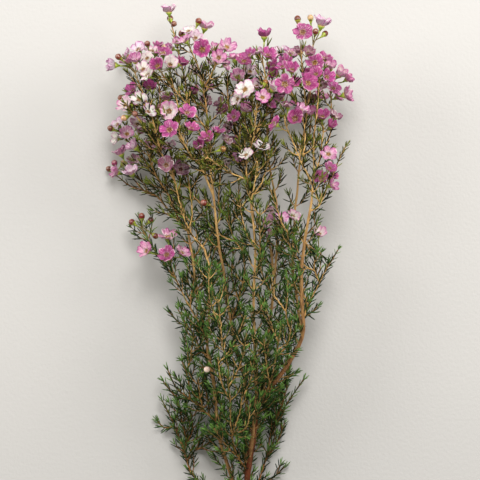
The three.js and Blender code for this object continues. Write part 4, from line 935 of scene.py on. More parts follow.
def set_square(point, axis, direction, scale=1.0):
    """A matrix that stands a shape's own z along the axis and its x along the direction."""
    across = carry_direction(direction, axis)
    square = Matrix((across, axis.cross(across), axis)).transposed().to_4x4()
    return Matrix.Translation(point) @ square @ Matrix.Scale(scale, 4)


def layers_for(bm, name):
    return bm.verts.layers.float_color if name == "tint" else bm.verts.layers.float


def open_layers(bm, names):
    """Makes the layers that corners are marked in, which has to come before the corners."""
    for name in names:
        if name not in layers_for(bm, name):
            layers_for(bm, name).new(name)


def marked(bm, verts, marks):
    """Gives corners their values: a number or colour for each layer's name."""
    for name, value in marks.items():
        layer = layers_for(bm, name)[name]
        for vert in verts:
            vert[layer] = value


def grow(bm, route, sides, marks, pointed=False):
    """A closed tube along a route: a round face whose edge is drawn on from stop to stop.

    Marks gives each stop's values. A pointed tube closes in a point at its last stop."""
    axes = route_axes(route)
    direction = axes[0].orthogonal()
    frames = []
    for (point, radius), axis in zip(route, axes):
        direction = carry_direction(direction, axis)
        frames.append(set_square(point, axis, direction, radius))
    open_layers(bm, marks(0.0))
    drawn = bmesh.ops.create_circle(bm, cap_ends=True, radius=1, segments=sides, matrix=frames[0])
    verts = drawn["verts"]
    edges = verts[0].link_faces[0].edges[:]
    marked(bm, verts, marks(0.0))
    for n in range(1, len(route)):
        drawn = bmesh.ops.extrude_edge_only(bm, edges=edges)["geom"]
        verts = [part for part in drawn if isinstance(part, bmesh.types.BMVert)]
        edges = [part for part in drawn if isinstance(part, bmesh.types.BMEdge)]
        bmesh.ops.transform(bm, matrix=frames[n] @ frames[n - 1].inverted(), verts=verts)
        marked(bm, verts, marks(n / (len(route) - 1)))
    if pointed:
        bmesh.ops.pointmerge(bm, verts=verts, merge_co=route[-1][0])
    else:
        bmesh.ops.contextual_create(bm, geom=edges)


def turn_profile(bm, profile, sides, marks):
    """A closed round shape turned from a profile of (height, radius, mark)."""
    open_layers(bm, marks(0.0))
    verts = [bm.verts.new((radius, 0, height)) for height, radius, _ in profile]
    for vert, (_, _, mark) in zip(verts, profile):
        marked(bm, [vert], marks(mark))
    edges = [bm.edges.new(pair) for pair in zip(verts, verts[1:])]
    bmesh.ops.spin(
        bm, geom=verts + edges, cent=(0, 0, 0), axis=(0, 0, 1), angle=math.tau, steps=sides, use_merge=True
    )
    bmesh.ops.remove_doubles(bm, verts=bm.verts, dist=WELD)
    rim = [edge for edge in bm.edges if edge.is_boundary]
    if rim:
        bmesh.ops.contextual_create(bm, geom=rim)


def as_template(bm, name):
    """Keeps a small shape as a mesh with its faces outwards, and frees the bmesh."""
    bmesh.ops.recalc_face_normals(bm, faces=bm.faces)
    mesh = bpy.data.meshes.new(name)
    bm.to_mesh(mesh)
    bm.free()
    return mesh


def add_mesh(whole, mesh, matrix=None):
    """Adds a small mesh to a piece, set in place, and removes it."""
    if matrix is not None:
        mesh.transform(matrix)
    whole.from_mesh(mesh)
    bpy.data.meshes.remove(mesh)


def add_part(whole, bm, matrix=None):
    add_mesh(whole, as_template(bm, "part"), matrix)


def add_copy(whole, template, matrix):
    add_mesh(whole, template.copy(), matrix)


# Materials.


def as_colour(colour):
    """A colour as the shaders take it: a socket's, or that of a setting or a shade by its name."""
    if isinstance(colour, bpy.types.NodeSocket):
        return colour
    shade = SHADES[colour][0] if colour in SHADES else getattr(bpy.context.scene.waxflower_colours, colour)
    return opaque(shade)


def opaque(colour):
    return (*to_linear(colour), 1.0)


class Nodes:
    """A node tree, with short calls for the nodes that the finishes are made of."""

    def __init__(self, tree):
        self.tree = tree

    def feed(self, node, values):
        """Gives a node the values of its inputs, where a socket is linked, and returns its outputs."""
        for name, value in values.items():
            if isinstance(value, bpy.types.NodeSocket):
                self.tree.links.new(value, node.inputs[name])
            else:
                node.inputs[name].default_value = value
        return node.outputs

    def add(self, kind, values, **settings):
        node = self.tree.nodes.new("ShaderNode" + kind)
        for name, value in settings.items():
            setattr(node, name, value)
        return self.feed(node, values)

    def use(self, group, values):
        return self.add("Group", values, node_tree=bpy.data.node_groups[group])

    def mask(self, name):
        return self.add("Attribute", {}, attribute_name=name)["Fac"]

    def tint(self):
        return self.add("Attribute", {}, attribute_name="tint")["Color"]

    def place(self):
        return self.add("TexCoord", {})["Object"]

    def noise(self, place, scale, detail, distortion=0.0):
        values = {"Vector": place, "Scale": scale, "Detail": detail, "Distortion": distortion}
        return self.add("TexNoise", values)["Fac"]

    def mottle(self, name):
        values = dict(zip(("Scale", "Stretch", "Low", "High"), MOTTLES[name]))
        return self.use("mottle", values)["Mask"]

    def math(self, operation, first, second=0.0):
        return self.add("Math", {0: first, 1: second}, operation=operation)[0]

    def times(self, value, factor):
        return self.math("MULTIPLY", value, factor)

    def ramp(self, value, low, high, to_low=0.0, to_high=1.0):
        """A soft step from one value to another while the given value goes from low to high."""
        values = {"Value": value, "From Min": low, "From Max": high, "To Min": to_low, "To Max": to_high}
        return self.add("MapRange", values, interpolation_type="SMOOTHSTEP")["Result"]

    def step(self, value, name):
        return self.ramp(value, *STEPS[name])

    def blend(self, mask, first, second):
        """The first colour where the mask is 0 and the second where it is 1."""
        return self.add("Mix", {0: mask, 6: as_colour(first), 7: as_colour(second)}, data_type="RGBA")[2]

    def tinge(self, base, mask, shade):
        """The base with some of a shade where the mask is 1, as much as the shade's share says."""
        return self.blend(self.times(mask, SHADES[shade][1]), base, shade)


def new_group(name, inputs, outputs):
    """A shared group of nodes: each input's default, or None for a colour, and each output's kind."""
    group = bpy.data.node_groups.new(name, "ShaderNodeTree")
    for socket, default in inputs.items():
        kind = "NodeSocketColor" if default is None else "NodeSocketFloat"
        made = group.interface.new_socket(socket, in_out="INPUT", socket_type=kind)
        if default is not None:
            made.default_value = default
    for socket, kind in outputs.items():
        group.interface.new_socket(socket, in_out="OUTPUT", socket_type=kind)
    return Nodes(group), group.nodes.new("NodeGroupInput").outputs, group.nodes.new("NodeGroupOutput")


def make_mottle_group():
    """Soft patches from 0 to 1, stretched along the stem."""
    inputs = {"Scale": 100.0, "Stretch": 1.0, "Low": 0.4, "High": 0.6}
    nodes, given, out = new_group("mottle", inputs, {"Mask": "NodeSocketFloat"})
    stretch = nodes.add("CombineXYZ", {"X": 1.0, "Y": given["Stretch"], "Z": 1.0})[0]
    mapped = nodes.add("Mapping", {"Vector": nodes.place(), "Scale": stretch})[0]
    patches = nodes.noise(mapped, given["Scale"], MOTTLE_DETAIL)
    nodes.feed(out, {"Mask": nodes.ramp(patches, given["Low"], given["High"])})


def make_relief_group():
    """A normal that is bumped by a height and by a fine grain."""
    inputs = {"Height": 0.0, "Grain Scale": 1500.0, "Grain": 0.3, "Depth": 0.0002}
    nodes, given, out = new_group("relief", inputs, {"Normal": "NodeSocketVector"})
    grain = nodes.noise(nodes.place(), given["Grain Scale"], GRAIN_DETAIL)
    height = nodes.math("ADD", given["Height"], nodes.times(grain, given["Grain"]))
    nodes.feed(out, {"Normal": nodes.add("Bump", {"Height": height, "Distance": given["Depth"]})["Normal"]})


def make_petal_group():
    """Colour and height over a petal: pale throat, body, long veins, pale streaks between the veins as a
    painted highlight, and a rim of the vein's colour or the throat's."""
    inputs = {"Tint": None, "Throat": None, "Vein": None, **dict.fromkeys(PETAL_AMOUNTS, 0.5)}
    outputs = {"Colour": "NodeSocketColor", "Height": "NodeSocketFloat"}
    nodes, given, out = new_group("petal_pattern", inputs, outputs)
    along, across, place = nodes.mask("along"), nodes.mask("across"), nodes.place()
    shifted = nodes.add("VectorMath", {0: place, 1: VEIN_SHIFT}, operation="MULTIPLY")[0]
    fanned = nodes.add("CombineXYZ", {"X": nodes.times(across, VEINS_ACROSS), "Y": along})[0]
    joined = nodes.add("VectorMath", {0: fanned, 1: shifted}, operation="ADD")[0]
    veins = nodes.noise(joined, *VEIN_NOISE)
    vein_mask = nodes.times(nodes.step(veins, "vein"), given["Vein Amount"])
    body = nodes.blend(vein_mask, given["Tint"], given["Vein"])
    # Pale streaks between the veins, towards the throat's colour: a painted highlight.
    painted_highlight_mask = nodes.times(nodes.step(veins, "painted_highlight"), given["Painted Highlight Amount"])
    highlighted = nodes.blend(painted_highlight_mask, body, given["Throat"])
    sideways = nodes.step(nodes.math("ABSOLUTE", across), "petal_side")
    edge = nodes.math("MAXIMUM", nodes.step(along, "petal_end"), sideways)
    moods = nodes.step(nodes.noise(place, *RIM_NOISE), "pale_rim")
    rim = nodes.blend(moods, given["Vein"], given["Throat"])
    rimmed = nodes.blend(nodes.times(edge, given["Rim Amount"]), highlighted, rim)
    throat_mask = nodes.times(nodes.step(along, "throat"), given["Throat Amount"])
    colour = nodes.blend(throat_mask, rimmed, given["Throat"])
    nodes.feed(out, {"Colour": colour, "Height": nodes.times(veins, VEIN_RELIEF)})


# Each maker below returns the colour of its finish, the height of its relief, and the mask that its
# roughness follows, if it does.


def petal_look(nodes, slot):
    vein, amounts = PETAL_LOOKS[slot]
    values = {"Tint": nodes.tint(), "Throat": as_colour("throat"), "Vein": opaque(vein)}
    pattern = nodes.use("petal_pattern", {**values, **dict(zip(PETAL_AMOUNTS, amounts))})
    return pattern["Colour"], pattern["Height"], None


def bark_look(nodes, slot):
    age, streaks = nodes.mask("age"), nodes.mottle("bark_streaks")
    base = nodes.blend(age, "young_bark", "old_bark")
    base = nodes.tinge(base, nodes.mottle("bark_patches"), "bark_patch")
    base = nodes.blend(nodes.times(streaks, nodes.step(age, "streaks_by_age")), base, "bark_streak")
    base = nodes.tinge(base, nodes.mottle("bark_flecks"), "bark_fleck")
    return nodes.blend(nodes.mask("cut"), base, "cut_wood"), streaks, streaks


def leaf_look(nodes, slot):
    """Needles are greener low down and more olive near the blooms, and twigs are darker low down."""
    patches, grain = nodes.mottle("leaf_patches"), nodes.mottle("leaf_grain")
    place = nodes.add("SeparateXYZ", {0: nodes.place()})
    upper, high = nodes.step(place["Y"], "up_the_stem"), nodes.step(place["Z"], "over_the_floor")
    dark = nodes.blend(upper, "needle", "upper_dark")
    medium = nodes.blend(upper, "medium_leaf", "upper_medium")
    fresh = nodes.blend(upper, "young_needle", "upper_fresh")
    # The young mask also holds the lighter inner side of each needle: partly its paler channel, partly a
    # painted highlight.
    needle = nodes.blend(nodes.mask("young"), nodes.blend(patches, dark, medium), fresh)
    twig = nodes.tinge(nodes.blend(high, "lower_twig", "twig"), patches, "twig_patch")
    return nodes.tinge(nodes.blend(nodes.mask("woody"), needle, twig), grain, "leaf_fleck"), grain, grain


def cup_look(nodes, slot):
    """Lime green outside with oil glands, a pale lip, and an eye that turns maroon with age."""
    up, age, patches = nodes.mask("up"), nodes.mask("age"), nodes.mottle("cup_patches")
    cells = nodes.add("TexVoronoi", {"Vector": nodes.place(), "Scale": GLAND_SCALE})["Distance"]
    glands = nodes.step(cells, "gland")
    skin = nodes.tinge(nodes.blend(patches, "cup", "cup_patch"), glands, "oil_gland")
    skin = nodes.blend(nodes.step(up, "lip"), skin, nodes.blend(age, "fresh_lip", "old_lip"))
    skin = nodes.blend(nodes.step(up, "stalk"), skin, "stalk")
    eye = nodes.tinge("fresh_eye", nodes.mottle("eye_spots"), "eye_spot")
    return nodes.blend(nodes.step(up, "eye"), skin, nodes.blend(age, eye, "old_eye")), glands, patches


def anther_look(nodes, slot):
    head, patches = nodes.mask("head"), nodes.mottle("anther_patches")
    return nodes.blend(head, "throat", nodes.blend(patches, "anther", "anther_patch")), patches, head


def bud_look(nodes, slot):
    """Waxy round buds: a green foot, then the tint of the folded petals, with a painted highlight at the tip.
    """
    up, patches = nodes.mask("up"), nodes.mottle("bud_patches")
    skin = nodes.tinge(nodes.tint(), patches, "bud_patch")
    # A paler tip: a painted highlight.
    skin = nodes.tinge(skin, nodes.step(up, "painted_bud_highlight"), "painted_bud_highlight")
    foot = nodes.blend(patches, "cup", "bud_foot")
    return nodes.blend(nodes.step(up, "bud_skin"), foot, skin), patches, patches


def floor_look(nodes, slot):
    return nodes.tinge("floor", nodes.mottle("floor_clouds"), "floor_cloud"), 0.0, None


GROUP_MAKERS = {"mottle": make_mottle_group, "relief": make_relief_group, "petal_pattern": make_petal_group}
LOOK_MAKERS = {
    "petal": petal_look,
    "bark": bark_look,
    "leaf": leaf_look,
    "cup": cup_look,
    "anther": anther_look,
    "bud": bud_look,
    "floor": floor_look,
}


def make_finish(slot):
    kind = slot.split("_")[0]
    specular, roughness, (scale, grain, depth) = LOOKS[kind]
    material = bpy.data.materials.new(slot + "_finish")
    material.use_nodes = True
    nodes = Nodes(material.node_tree)
    colour, height, mask = LOOK_MAKERS[kind](nodes, slot)
    relief = nodes.use("relief", {"Height": height, "Grain Scale": scale, "Grain": grain, "Depth": depth})
    values = {
        "Base Color": colour,
        "Roughness": roughness[0] if mask is None else nodes.ramp(mask, 0.0, 1.0, *roughness),
        "Specular IOR Level": specular,
        "Normal": relief["Normal"],
    }
    nodes.feed(material.node_tree.nodes["Principled BSDF"], {**values, **MORE_LOOKS.get(kind, {})})
    return material


def finish_of(slot):
    """The finish of a slot, made when it is first asked for."""
    if slot not in FINISHES:
        for group, make in GROUP_MAKERS.items():
            if group not in bpy.data.node_groups:
                make()
        FINISHES[slot] = make_finish(slot)
    return FINISHES[slot]


# Wood.


def limb_route(limb):
    """A limb's smooth line, with a grown unevenness in its thickness."""
    stops = [(Vector(grid_point(*stop[:3])), stop[3]) for stop in limb]
    route = []
    for point, radius in smooth_route(stops, LIMB_RING_STEP):
        knot = max(noise.noise(point / KNOT_REACH) - KNOT_FLOOR, 0) * KNOT
        route.append((point, radius * (1 + knot + UNEVENNESS * noise.noise(point / UNEVEN_REACH))))
    return route


def bark_marks(route):
    """Bark is older where the limb is thicker."""
    last = len(route) - 1
    return lambda share: {"age": (route[round(share * last)][1] - YOUNG_BARK_RADIUS) / BARK_AGEING}


def cut_face(bm, route):
    """Marks the flat cut end, inside a thin edge of bark."""
    open_layers(bm, ("cut",))
    start = route[0][0]
    cap = min(bm.faces, key=lambda face: (face.calc_center_median() - start).length)
    bmesh.ops.inset_region(bm, faces=[cap], thickness=CUT_EDGE)
    marked(bm, cap.verts, {"cut": 1.0})


# Needles and twigs.


def twig_marks(kind):
    """Twigs are woody at the root and greener to the tip."""
    root, tip = WOODINESS[kind]
    return lambda share: {"young": 0.0, "woody": root + (tip - root) * share}


def turned(direction, angle, axis):
    """The direction, turned round an axis by an angle in radians."""
    direction = direction.copy()
    direction.rotate(Matrix.Rotation(angle, 3, axis))
    return direction


def side_shoot(point, axis, turn, length, under=False):
    """The smooth line of a side shoot: it leaves steeply and turns to run with its limb."""
    side = turned(axis.orthogonal(), turn, axis)
    if under:
        side.z = -abs(side.z)
    if point.z + side.z * length < SHOOT_MARGIN:
        side.z = abs(side.z)
    stops = [(point, SHOOT_RADIUS)]
    for lean, share, radius in SHOOT_BENDS:
        way = axis * math.cos(math.radians(lean)) + side * math.sin(math.radians(lean))
        stops.append((stops[-1][0] + way * length * share, radius))
    return smooth_route(stops, TWIG_RING_STEP, drift=False)


def grid_place(point):
    """The column and row of a point."""
    return GRID_MIDDLE + point.x / GRID_STEP, GRID_FOOT - point.y / GRID_STEP


def shoot_gap(point):
    """How far apart side shoots stand: close low down, wider higher up, and close behind the blooms."""
    column, row = grid_place(point)
    share = min(max((row - SPARSE_ROW) / (DENSE_ROW - SPARSE_ROW), 0), 1)
    factor = OPEN_FACTOR if column > OPEN_COLUMN and row < OPEN_ROW else 1
    if all(low < at < high for at, (low, high) in zip((column, row), FILLED)):
        factor = FILLED_FACTOR
    return SPARSE_GAP + (DENSE_GAP - SPARSE_GAP) * share, factor


def is_in_spread(point):
    """Whether a side shoot may end here: inside the spray's outline and under its topmost blooms."""
    if point.z > SHOOT_CEILING:
        return False
    column, row = grid_place(point)
    for (above, left, right), (below, next_left, next_right) in zip(SPREAD, SPREAD[1:]):
        if above <= row <= below:
            share = (row - above) / (below - above)
            return left + (next_left - left) * share <= column <= right + (next_right - right) * share
    return False


class Foliage:
    """What leafy twigs are grown with: sizes in millimetres, shapes of needles and random draws."""

    def __init__(self, sizes, draws):
        self.draws = draws
        self.length, self.radius = sizes.needle_length / MM, sizes.needle_radius / MM
        self.leafy, self.flowering = sizes.leafy_spacing / MM, sizes.flowering_spacing / MM
        self.shoot_length = sizes.shoot_length / MM
        self.needles = [[self.make_needle(bend, young) for young in NEEDLE_AGES] for bend in NEEDLE_BENDS]

    def make_needle(self, bend, young):
        """A needle leaf along z: a tube that swells a little, bends and ends in a point. The side that it bends
        to is a little lighter: partly its own paler channel, partly a painted highlight."""
        length, radius = self.length, self.radius
        route = []
        for share, width in NEEDLE_PROFILE:
            route.append((Vector((bend * share * share * length, 0, share * length)), width * radius))
        bm = bmesh.new()
        grow(bm, route, NEEDLE_SIDES, lambda share: {"young": young, "woody": 0.0}, pointed=True)
        inner = [vert for vert in bm.verts if vert.co.x > bend * vert.co.z**2 / length + radius * INNER_SIDE]
        marked(bm, inner, {"young": min(young + INNER_CHANNEL_AND_HIGHLIGHT, 1)})
        return as_template(bm, "needle")

    def add_needle(self, whole, point, axis, side, lean, size, young):
        """One needle that leans out from the twig and bends back towards it."""
        matrix = set_square(point, axis * math.cos(lean) + side * math.sin(lean), axis, size)
        if (matrix @ Vector((0, 0, self.length))).z >= FLOOR_MARGIN:
            shade = min(int(young * len(NEEDLE_AGES)), len(NEEDLE_AGES) - 1)
            add_copy(whole, self.draws.choice(self.needles)[shade], matrix)

    def add_pair(self, whole, point, axis, side, share):
        """Two opposite needles, at their share of the twig's length."""
        draws = self.draws
        growing = max(share - 1 + GROWING, 0) / GROWING * draws.uniform(*GROWTH)
        for way in (side, -side):
            lean = math.radians(draws.gauss(NEEDLE_LEAN, LEAN_SPREAD) - LEAN_DROP * share)
            size = draws.uniform(*NEEDLE_SIZES) * (1 - NEEDLE_TAPER * share**3)
            young = min(growing + FRESHNESS * draws.random() ** FRESH_POWER, 1)
            self.add_needle(whole, point, axis, way, lean, size, young)

    def add_tuft(self, whole, point, axis):
        """The needles that close a twig's end."""
        draws, side = self.draws, axis.orthogonal()
        for _ in range(TUFT):
            side = turned(side, math.tau / TUFT + draws.uniform(-TUFT_TWIST, TUFT_TWIST), axis)
            lean, size = math.radians(draws.uniform(*TUFT_LEANS)), draws.uniform(*TUFT_SIZES)
            self.add_needle(whole, point, axis, side, lean, size, draws.uniform(*TUFT_AGES))

    def add_needles(self, whole, route, spacing, first, bare):
        """Opposite pairs along a twig, each at right angles to the last, and a tuft. A bare tip of the
        given length has neither."""
        draws, axes = self.draws, route_axes(route)
        lengths = [(b[0] - a[0]).length for a, b in zip(route, route[1:])]
        leafy = sum(lengths) - bare
        side = turned(axes[0].orthogonal(), draws.uniform(0, math.tau), axes[0])
        walked, following = 0.0, first + spacing * draws.uniform(*FIRST_GAPS)
        for (start, _), (end, _), axis, length in zip(route, route[1:], axes, lengths):
            while following < min(walked + length, leafy):
                point = start.lerp(end, (following - walked) / length)
                twist = math.radians(90 + draws.uniform(-PAIR_TWIST, PAIR_TWIST))
                side = turned(carry_direction(side, axis), twist, axis)
                self.add_pair(whole, point, axis, side, following / leafy)
                following += spacing * draws.uniform(*PAIR_GAPS)
            walked += length
        if not bare:
            self.add_tuft(whole, route[-1][0], axes[-1])

    def add_twig(self, whole, route, spacing, kind, first=0.0, bare=0.0):
        bm = bmesh.new()
        grow(bm, route, TWIG_SIDES, twig_marks(kind))
        add_part(whole, bm)
        self.add_needles(whole, route, spacing, first, bare)

    def add_sprigs(self, whole, route):
        """Short leafy sprigs round the end of a twig, under its blooms."""
        draws, axis = self.draws, route_axes(route)[-1]
        turn = draws.uniform(0, math.tau)
        for _ in range(HUB_SPRIGS):
            turn += math.tau / HUB_SPRIGS + draws.uniform(-SPRIG_TWIST, SPRIG_TWIST)
            start = draws.choice(route[-3:])[0]
            shoot = side_shoot(start, axis, turn, self.shoot_length * draws.uniform(*SPRIG_LENGTHS), under=True)
            if is_in_spread(shoot[-1][0]):
                self.add_twig(whole, shoot, self.leafy, "sprig", SPRIG_BARE)

    def add_side_shoots(self, whole, route, widening):
        """Leafy side shoots along a limb or twig, on all its sides."""
        draws = self.draws
        walked, following, turn = 0.0, draws.uniform(*SHOOT_STARTS), draws.uniform(0, math.tau)
        for (start, _), (end, _), axis in zip(route, route[1:], route_axes(route)):
            walked += (end - start).length
            if walked < following or not TOP_SHOOT_ROW < grid_place(start)[1] < BARE_ROW:
                continue
            gap, factor = shoot_gap(start)
            following = walked + gap * widening * factor * draws.uniform(*SHOOT_GAPS)
            turn += math.radians(90 + draws.uniform(-SHOOT_TWIST, SHOOT_TWIST))
            for way in (turn, turn + math.pi):
                shoot = side_shoot(start, axis, way, self.shoot_length * draws.uniform(*SHOOT_LENGTHS))
                if draws.random() < SHOOT_SHARE and is_in_spread(shoot[-1][0]):
                    self.add_twig(whole, shoot, self.leafy, "shoot", SHOOT_BARE)


# Blooms and buds.


def cluster_leads():
    """The direction in which each cluster's twig ends."""
    leads = {}
    for twig in TWIGS.values():
        for path in twig:
            if isinstance(path[-1], str):
                before, end = path_points(path[-2:])
                leads[path[-1]] = (end - before).normalized()
    return leads


def petal_point(across, along, reach, form):
    """A blade point of a petal that stands along x, from its own share across and along."""
    rise, curl, half, roll, ruffle, phase = form
    lean = rise + curl * along
    stretch = min(1 / math.cos(rise + curl), PETAL_STRETCH)
    length = reach * (PETAL_REACH - PETAL_ROOT) * stretch * along
    wave = ruffle * reach * along
    stray = wave * RUFFLE_ALONG * math.cos(across * RUFFLE_WAVES[0] + phase)
    out = reach * PETAL_ROOT + length * math.cos(lean) + stray
    cupping = reach * PETAL_CUPPING * across * across * along
    ruffling = wave * math.sin(across * RUFFLE_WAVES[1] + phase)
    up = length * math.sin(lean) + cupping + roll * half * reach * across + ruffling
    return Vector((out, half * reach * across, up))


def add_petals(bm, reach, tints, thickness, draws):
    """Five round, waxy, overlapping blades round a bloom's own z, each with its own lean and ruffle."""
    open_layers(bm, ("across", "along", "tint"))
    rise, curl = math.radians(draws.uniform(*PETAL_RISES)), math.radians(draws.uniform(*PETAL_CURLS))
    for petal in range(PETALS):
        lean = rise + math.radians(draws.uniform(*PETAL_LEANS))
        half, roll = draws.uniform(*PETAL_WIDTHS), PETAL_ROLL + draws.uniform(*ROLLS)
        form = (lean, curl, half, roll, draws.uniform(*RUFFLES), draws.uniform(0, math.tau))
        shade = draws.uniform(*PETAL_SHADES)
        foot, edge = (tint * shade for tint in tints)
        turn = math.tau * petal / PETALS + math.radians(draws.uniform(*PETAL_TURNS))
        made = bmesh.ops.create_grid(bm, x_segments=PETAL_GRID, y_segments=PETAL_GRID, size=1)["verts"]
        for vert in made:
            # The square grid is drawn round.
            x, y = vert.co.x, vert.co.y
            across, along = x * math.sqrt(1 - y * y / 2), (1 + y * math.sqrt(1 - x * x / 2)) / 2
            tint = foot.lerp(edge, max(along, abs(across)) ** 2)
            marked(bm, [vert], {"across": across, "along": along, "tint": (*tint, 1.0)})
            vert.co = petal_point(across, along, reach, form)
        bmesh.ops.rotate(bm, verts=made, cent=(0, 0, 0), matrix=Matrix.Rotation(turn, 4, "Z"))
        faces = list({face for vert in made for face in vert.link_faces})
        bmesh.ops.recalc_face_normals(bm, faces=faces)
        bmesh.ops.solidify(bm, geom=faces, thickness=thickness)


def add_cup(bm, reach, age):
    """The cup under the petals, its lip and eye, and the style in its middle."""
    foot = (-(CUP_DEPTH * reach + CUP_FOOT), STALK_TOP_RADIUS, 0.0)
    profile = [foot] + [(height * reach, radius * reach, up) for height, radius, up in CUP_PROFILE]
    turn_profile(bm, profile, CUP_SIDES, lambda up: {"up": up, "age": age})
    route = [(Vector((0, 0, height * reach)), radius * reach) for height, radius in STYLE_PROFILE]
    grow(bm, route, STYLE_SIDES, lambda share: {"up": 1.0 + STYLE_UP * share, "age": age})


def stamen_template():
    """A stamen for a bloom of reach 1: it rises from the lip and bows to the middle."""
    route = [(Vector((out, 0, up)), radius) for out, up, radius in STAMEN_LINE]
    bm = bmesh.new()
    grow(bm, route, STAMEN_SIDES, lambda share: {"head": 1.0 if share > STAMEN_HEAD else 0.0})
    return as_template(bm, "stamen")


def add_stalk(whole, root, foot, lead, axis):
    """A stalk that leaves the twig forwards and meets the cup square."""
    reach = (foot - root).length / 3
    line = interpolate_bezier(root, root + lead * reach, foot - axis * reach, foot, STALK_STOPS)
    last = STALK_STOPS - 1
    radii = [STALK_RADIUS + (STALK_TOP_RADIUS - STALK_RADIUS) * (n / last) ** 2 for n in range(STALK_STOPS)]
    bm = bmesh.new()
    grow(bm, list(zip(line, radii)), STALK_SIDES, lambda share: {"up": share * share - 1, "age": STALK_AGE})
    add_part(whole, bm)


def add_bloom(pieces, bloom, root, lead, stamen, thickness, draws):
    slot, *colours, age = TINTS[bloom.tint]
    reach, axis, centre = bloom.width / 2, bloom.axis, Vector(bloom.place)
    foot = centre - axis * (reach * CUP_DEPTH + CUP_FOOT)
    upright = set_square(centre, axis, carry_direction(cross_direction((foot - root).normalized()), axis))
    depth = draws.uniform(*BLOOM_SHADES)
    cast = [depth * draws.uniform(*BLOOM_CASTS) for _ in range(3)]
    tints = [Vector(part * own for part, own in zip(to_linear(colour), cast)) for colour in colours]
    petals, cup = bmesh.new(), bmesh.new()
    add_petals(petals, reach, tints, thickness, draws)
    add_part(pieces[slot], petals, upright)
    add_cup(cup, reach, min(max(age + draws.uniform(-AGE_SPREAD, AGE_SPREAD), 0), 1))
    add_part(pieces["cup"], cup, upright)
    for number in range(STAMENS):
        turn = math.tau * (number + draws.uniform(-STAMEN_TURN, STAMEN_TURN)) / STAMENS
        spun = Matrix.Rotation(turn, 4, "Z") @ Matrix.Scale(reach * draws.uniform(*STAMEN_SIZES), 4)
        add_copy(pieces["anther"], stamen, upright @ spun)
    add_stalk(pieces["cup"], root, foot + axis * STALK_SINK, lead, axis)


def add_bud(pieces, bud, root, lead, draws):
    """A round bud of five folded petals on its own short cup."""
    centre = Vector(bud.place)
    axis = (centre - root).normalized()
    tint = (*(c * draws.uniform(*BUD_SHADES) for c in to_linear(BUD_TINTS[bud.tint])), 1.0)
    size = draws.uniform(*BUD_SIZES) * BUD_RADIUS
    bm = bmesh.new()
    profile = [(height * size, radius * size, up) for height, radius, up in BUD_PROFILE]
    turn_profile(bm, profile, BUD_SIDES, lambda up: {"up": up, "tint": tint})
    for vert in bm.verts:
        fold = 1 + BUD_FOLD * math.cos(PETALS * math.atan2(vert.co.y, vert.co.x)) * (vert.co.z > 0)
        vert.co.x *= fold
        vert.co.y *= fold
    add_part(pieces["bud"], bm, set_square(centre, axis, axis.orthogonal()))
    add_stalk(pieces["cup"], root, centre - axis * (BUD_FOOT * size - STALK_SINK), lead, axis)


def rooted(route, grown):
    """The route with its start drawn over to the nearest stop of what is already grown."""
    start = route[0][0]
    shift = min((point - start for point in grown), key=lambda way: way.length)
    count = min(len(route) - 1, ROOT_STOPS)
    return [(point + shift * max(1 - n / count, 0), radius) for n, (point, radius) in enumerate(route)]


def hub_route(cluster, lead):
    """The last short stretch of a flowering twig, which the stalks of its cluster grow from."""
    tip = Vector(grid_point(*CLUSTERS[cluster][0]))
    stops = [(tip + lead * HUB_LENGTH * share, radius) for share, radius in HUB_STOPS]
    return [(point + sway(point), radius) for point, radius in stops]


def nearest_stop(target):
    """The stop of the limbs and twigs that is nearest to a point."""
    routes = [limb_route(limb) for limb in LIMBS]
    routes += [twig_route(path) for twig in TWIGS.values() for path in twig]
    return min((point for route in routes for point, _ in route), key=lambda point: (point - target).length)


# Operators.


def sizes_and_draws(context, part):
    sizes = context.scene.waxflower_sizes
    return sizes, random.Random(f"{part} {sizes.seed}")


def link(name, data):
    """A new object in the scene, which sits at the origin until it is moved."""
    thing = bpy.data.objects.new(name, data)
    bpy.context.scene.collection.objects.link(thing)
    return thing


def mesh_object(bm, name, slot):
    mesh = bpy.data.meshes.new(name)
    bm.to_mesh(mesh)
    bm.free()
    mesh.materials.append(finish_of(slot))
    return link(name, mesh)


def finish_piece(bm, name, slot, nodes=()):
    """Makes a piece of the frame: metres, smooth faces, one finish, and hides the imported nodes that it stands
    for.
    """
    if not bm.faces:
        raise RuntimeError(f"{name} has no faces")
    bmesh.ops.translate(bm, verts=bm.verts, vec=STATE["shift"])
    bmesh.ops.scale(bm, verts=bm.verts, vec=(MM, MM, MM))
    for face in bm.faces:
        face.smooth = True
    piece = mesh_object(bm, name, slot)
    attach(piece, "root")
    if nodes:
        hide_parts(*nodes)


def add_light(name, place, size, power):
    data = bpy.data.lights.new(name, "AREA")
    data.shape = "DISK"
    data.size = size
    data.energy = power
    data.color = LIGHT_COLOUR
    light = link(name, data)
    light.location = place
    light.rotation_euler = (-Vector(place)).to_track_quat("-Z", "Y").to_euler()


def add_surroundings(scene):
    world = bpy.data.worlds.new("surroundings")
    world.use_nodes = True
    background = world.node_tree.nodes["Background"]
    background.inputs["Color"].default_value = SKY_COLOUR
    background.inputs["Strength"].default_value = SKY_STRENGTH
    scene.world = world
    scene.view_settings.view_transform = "Standard"


def add_camera(scene):
    """The camera looks straight down, and takes in the grid's columns at the stem's middle height."""
    distance = scene.waxflower_sizes.camera_distance
    middle = (Vector(grid_point(*VIEW_MIDDLE)) + STATE["shift"]) * MM
    data = bpy.data.cameras.new("camera")
    data.sensor_width = CAMERA_SENSOR
    data.lens = CAMERA_SENSOR * distance / (VIEW_COLUMNS * GRID_STEP * MM)
    scene.camera = link("camera", data)
    scene.camera.location = middle + Vector((0, 0, distance))


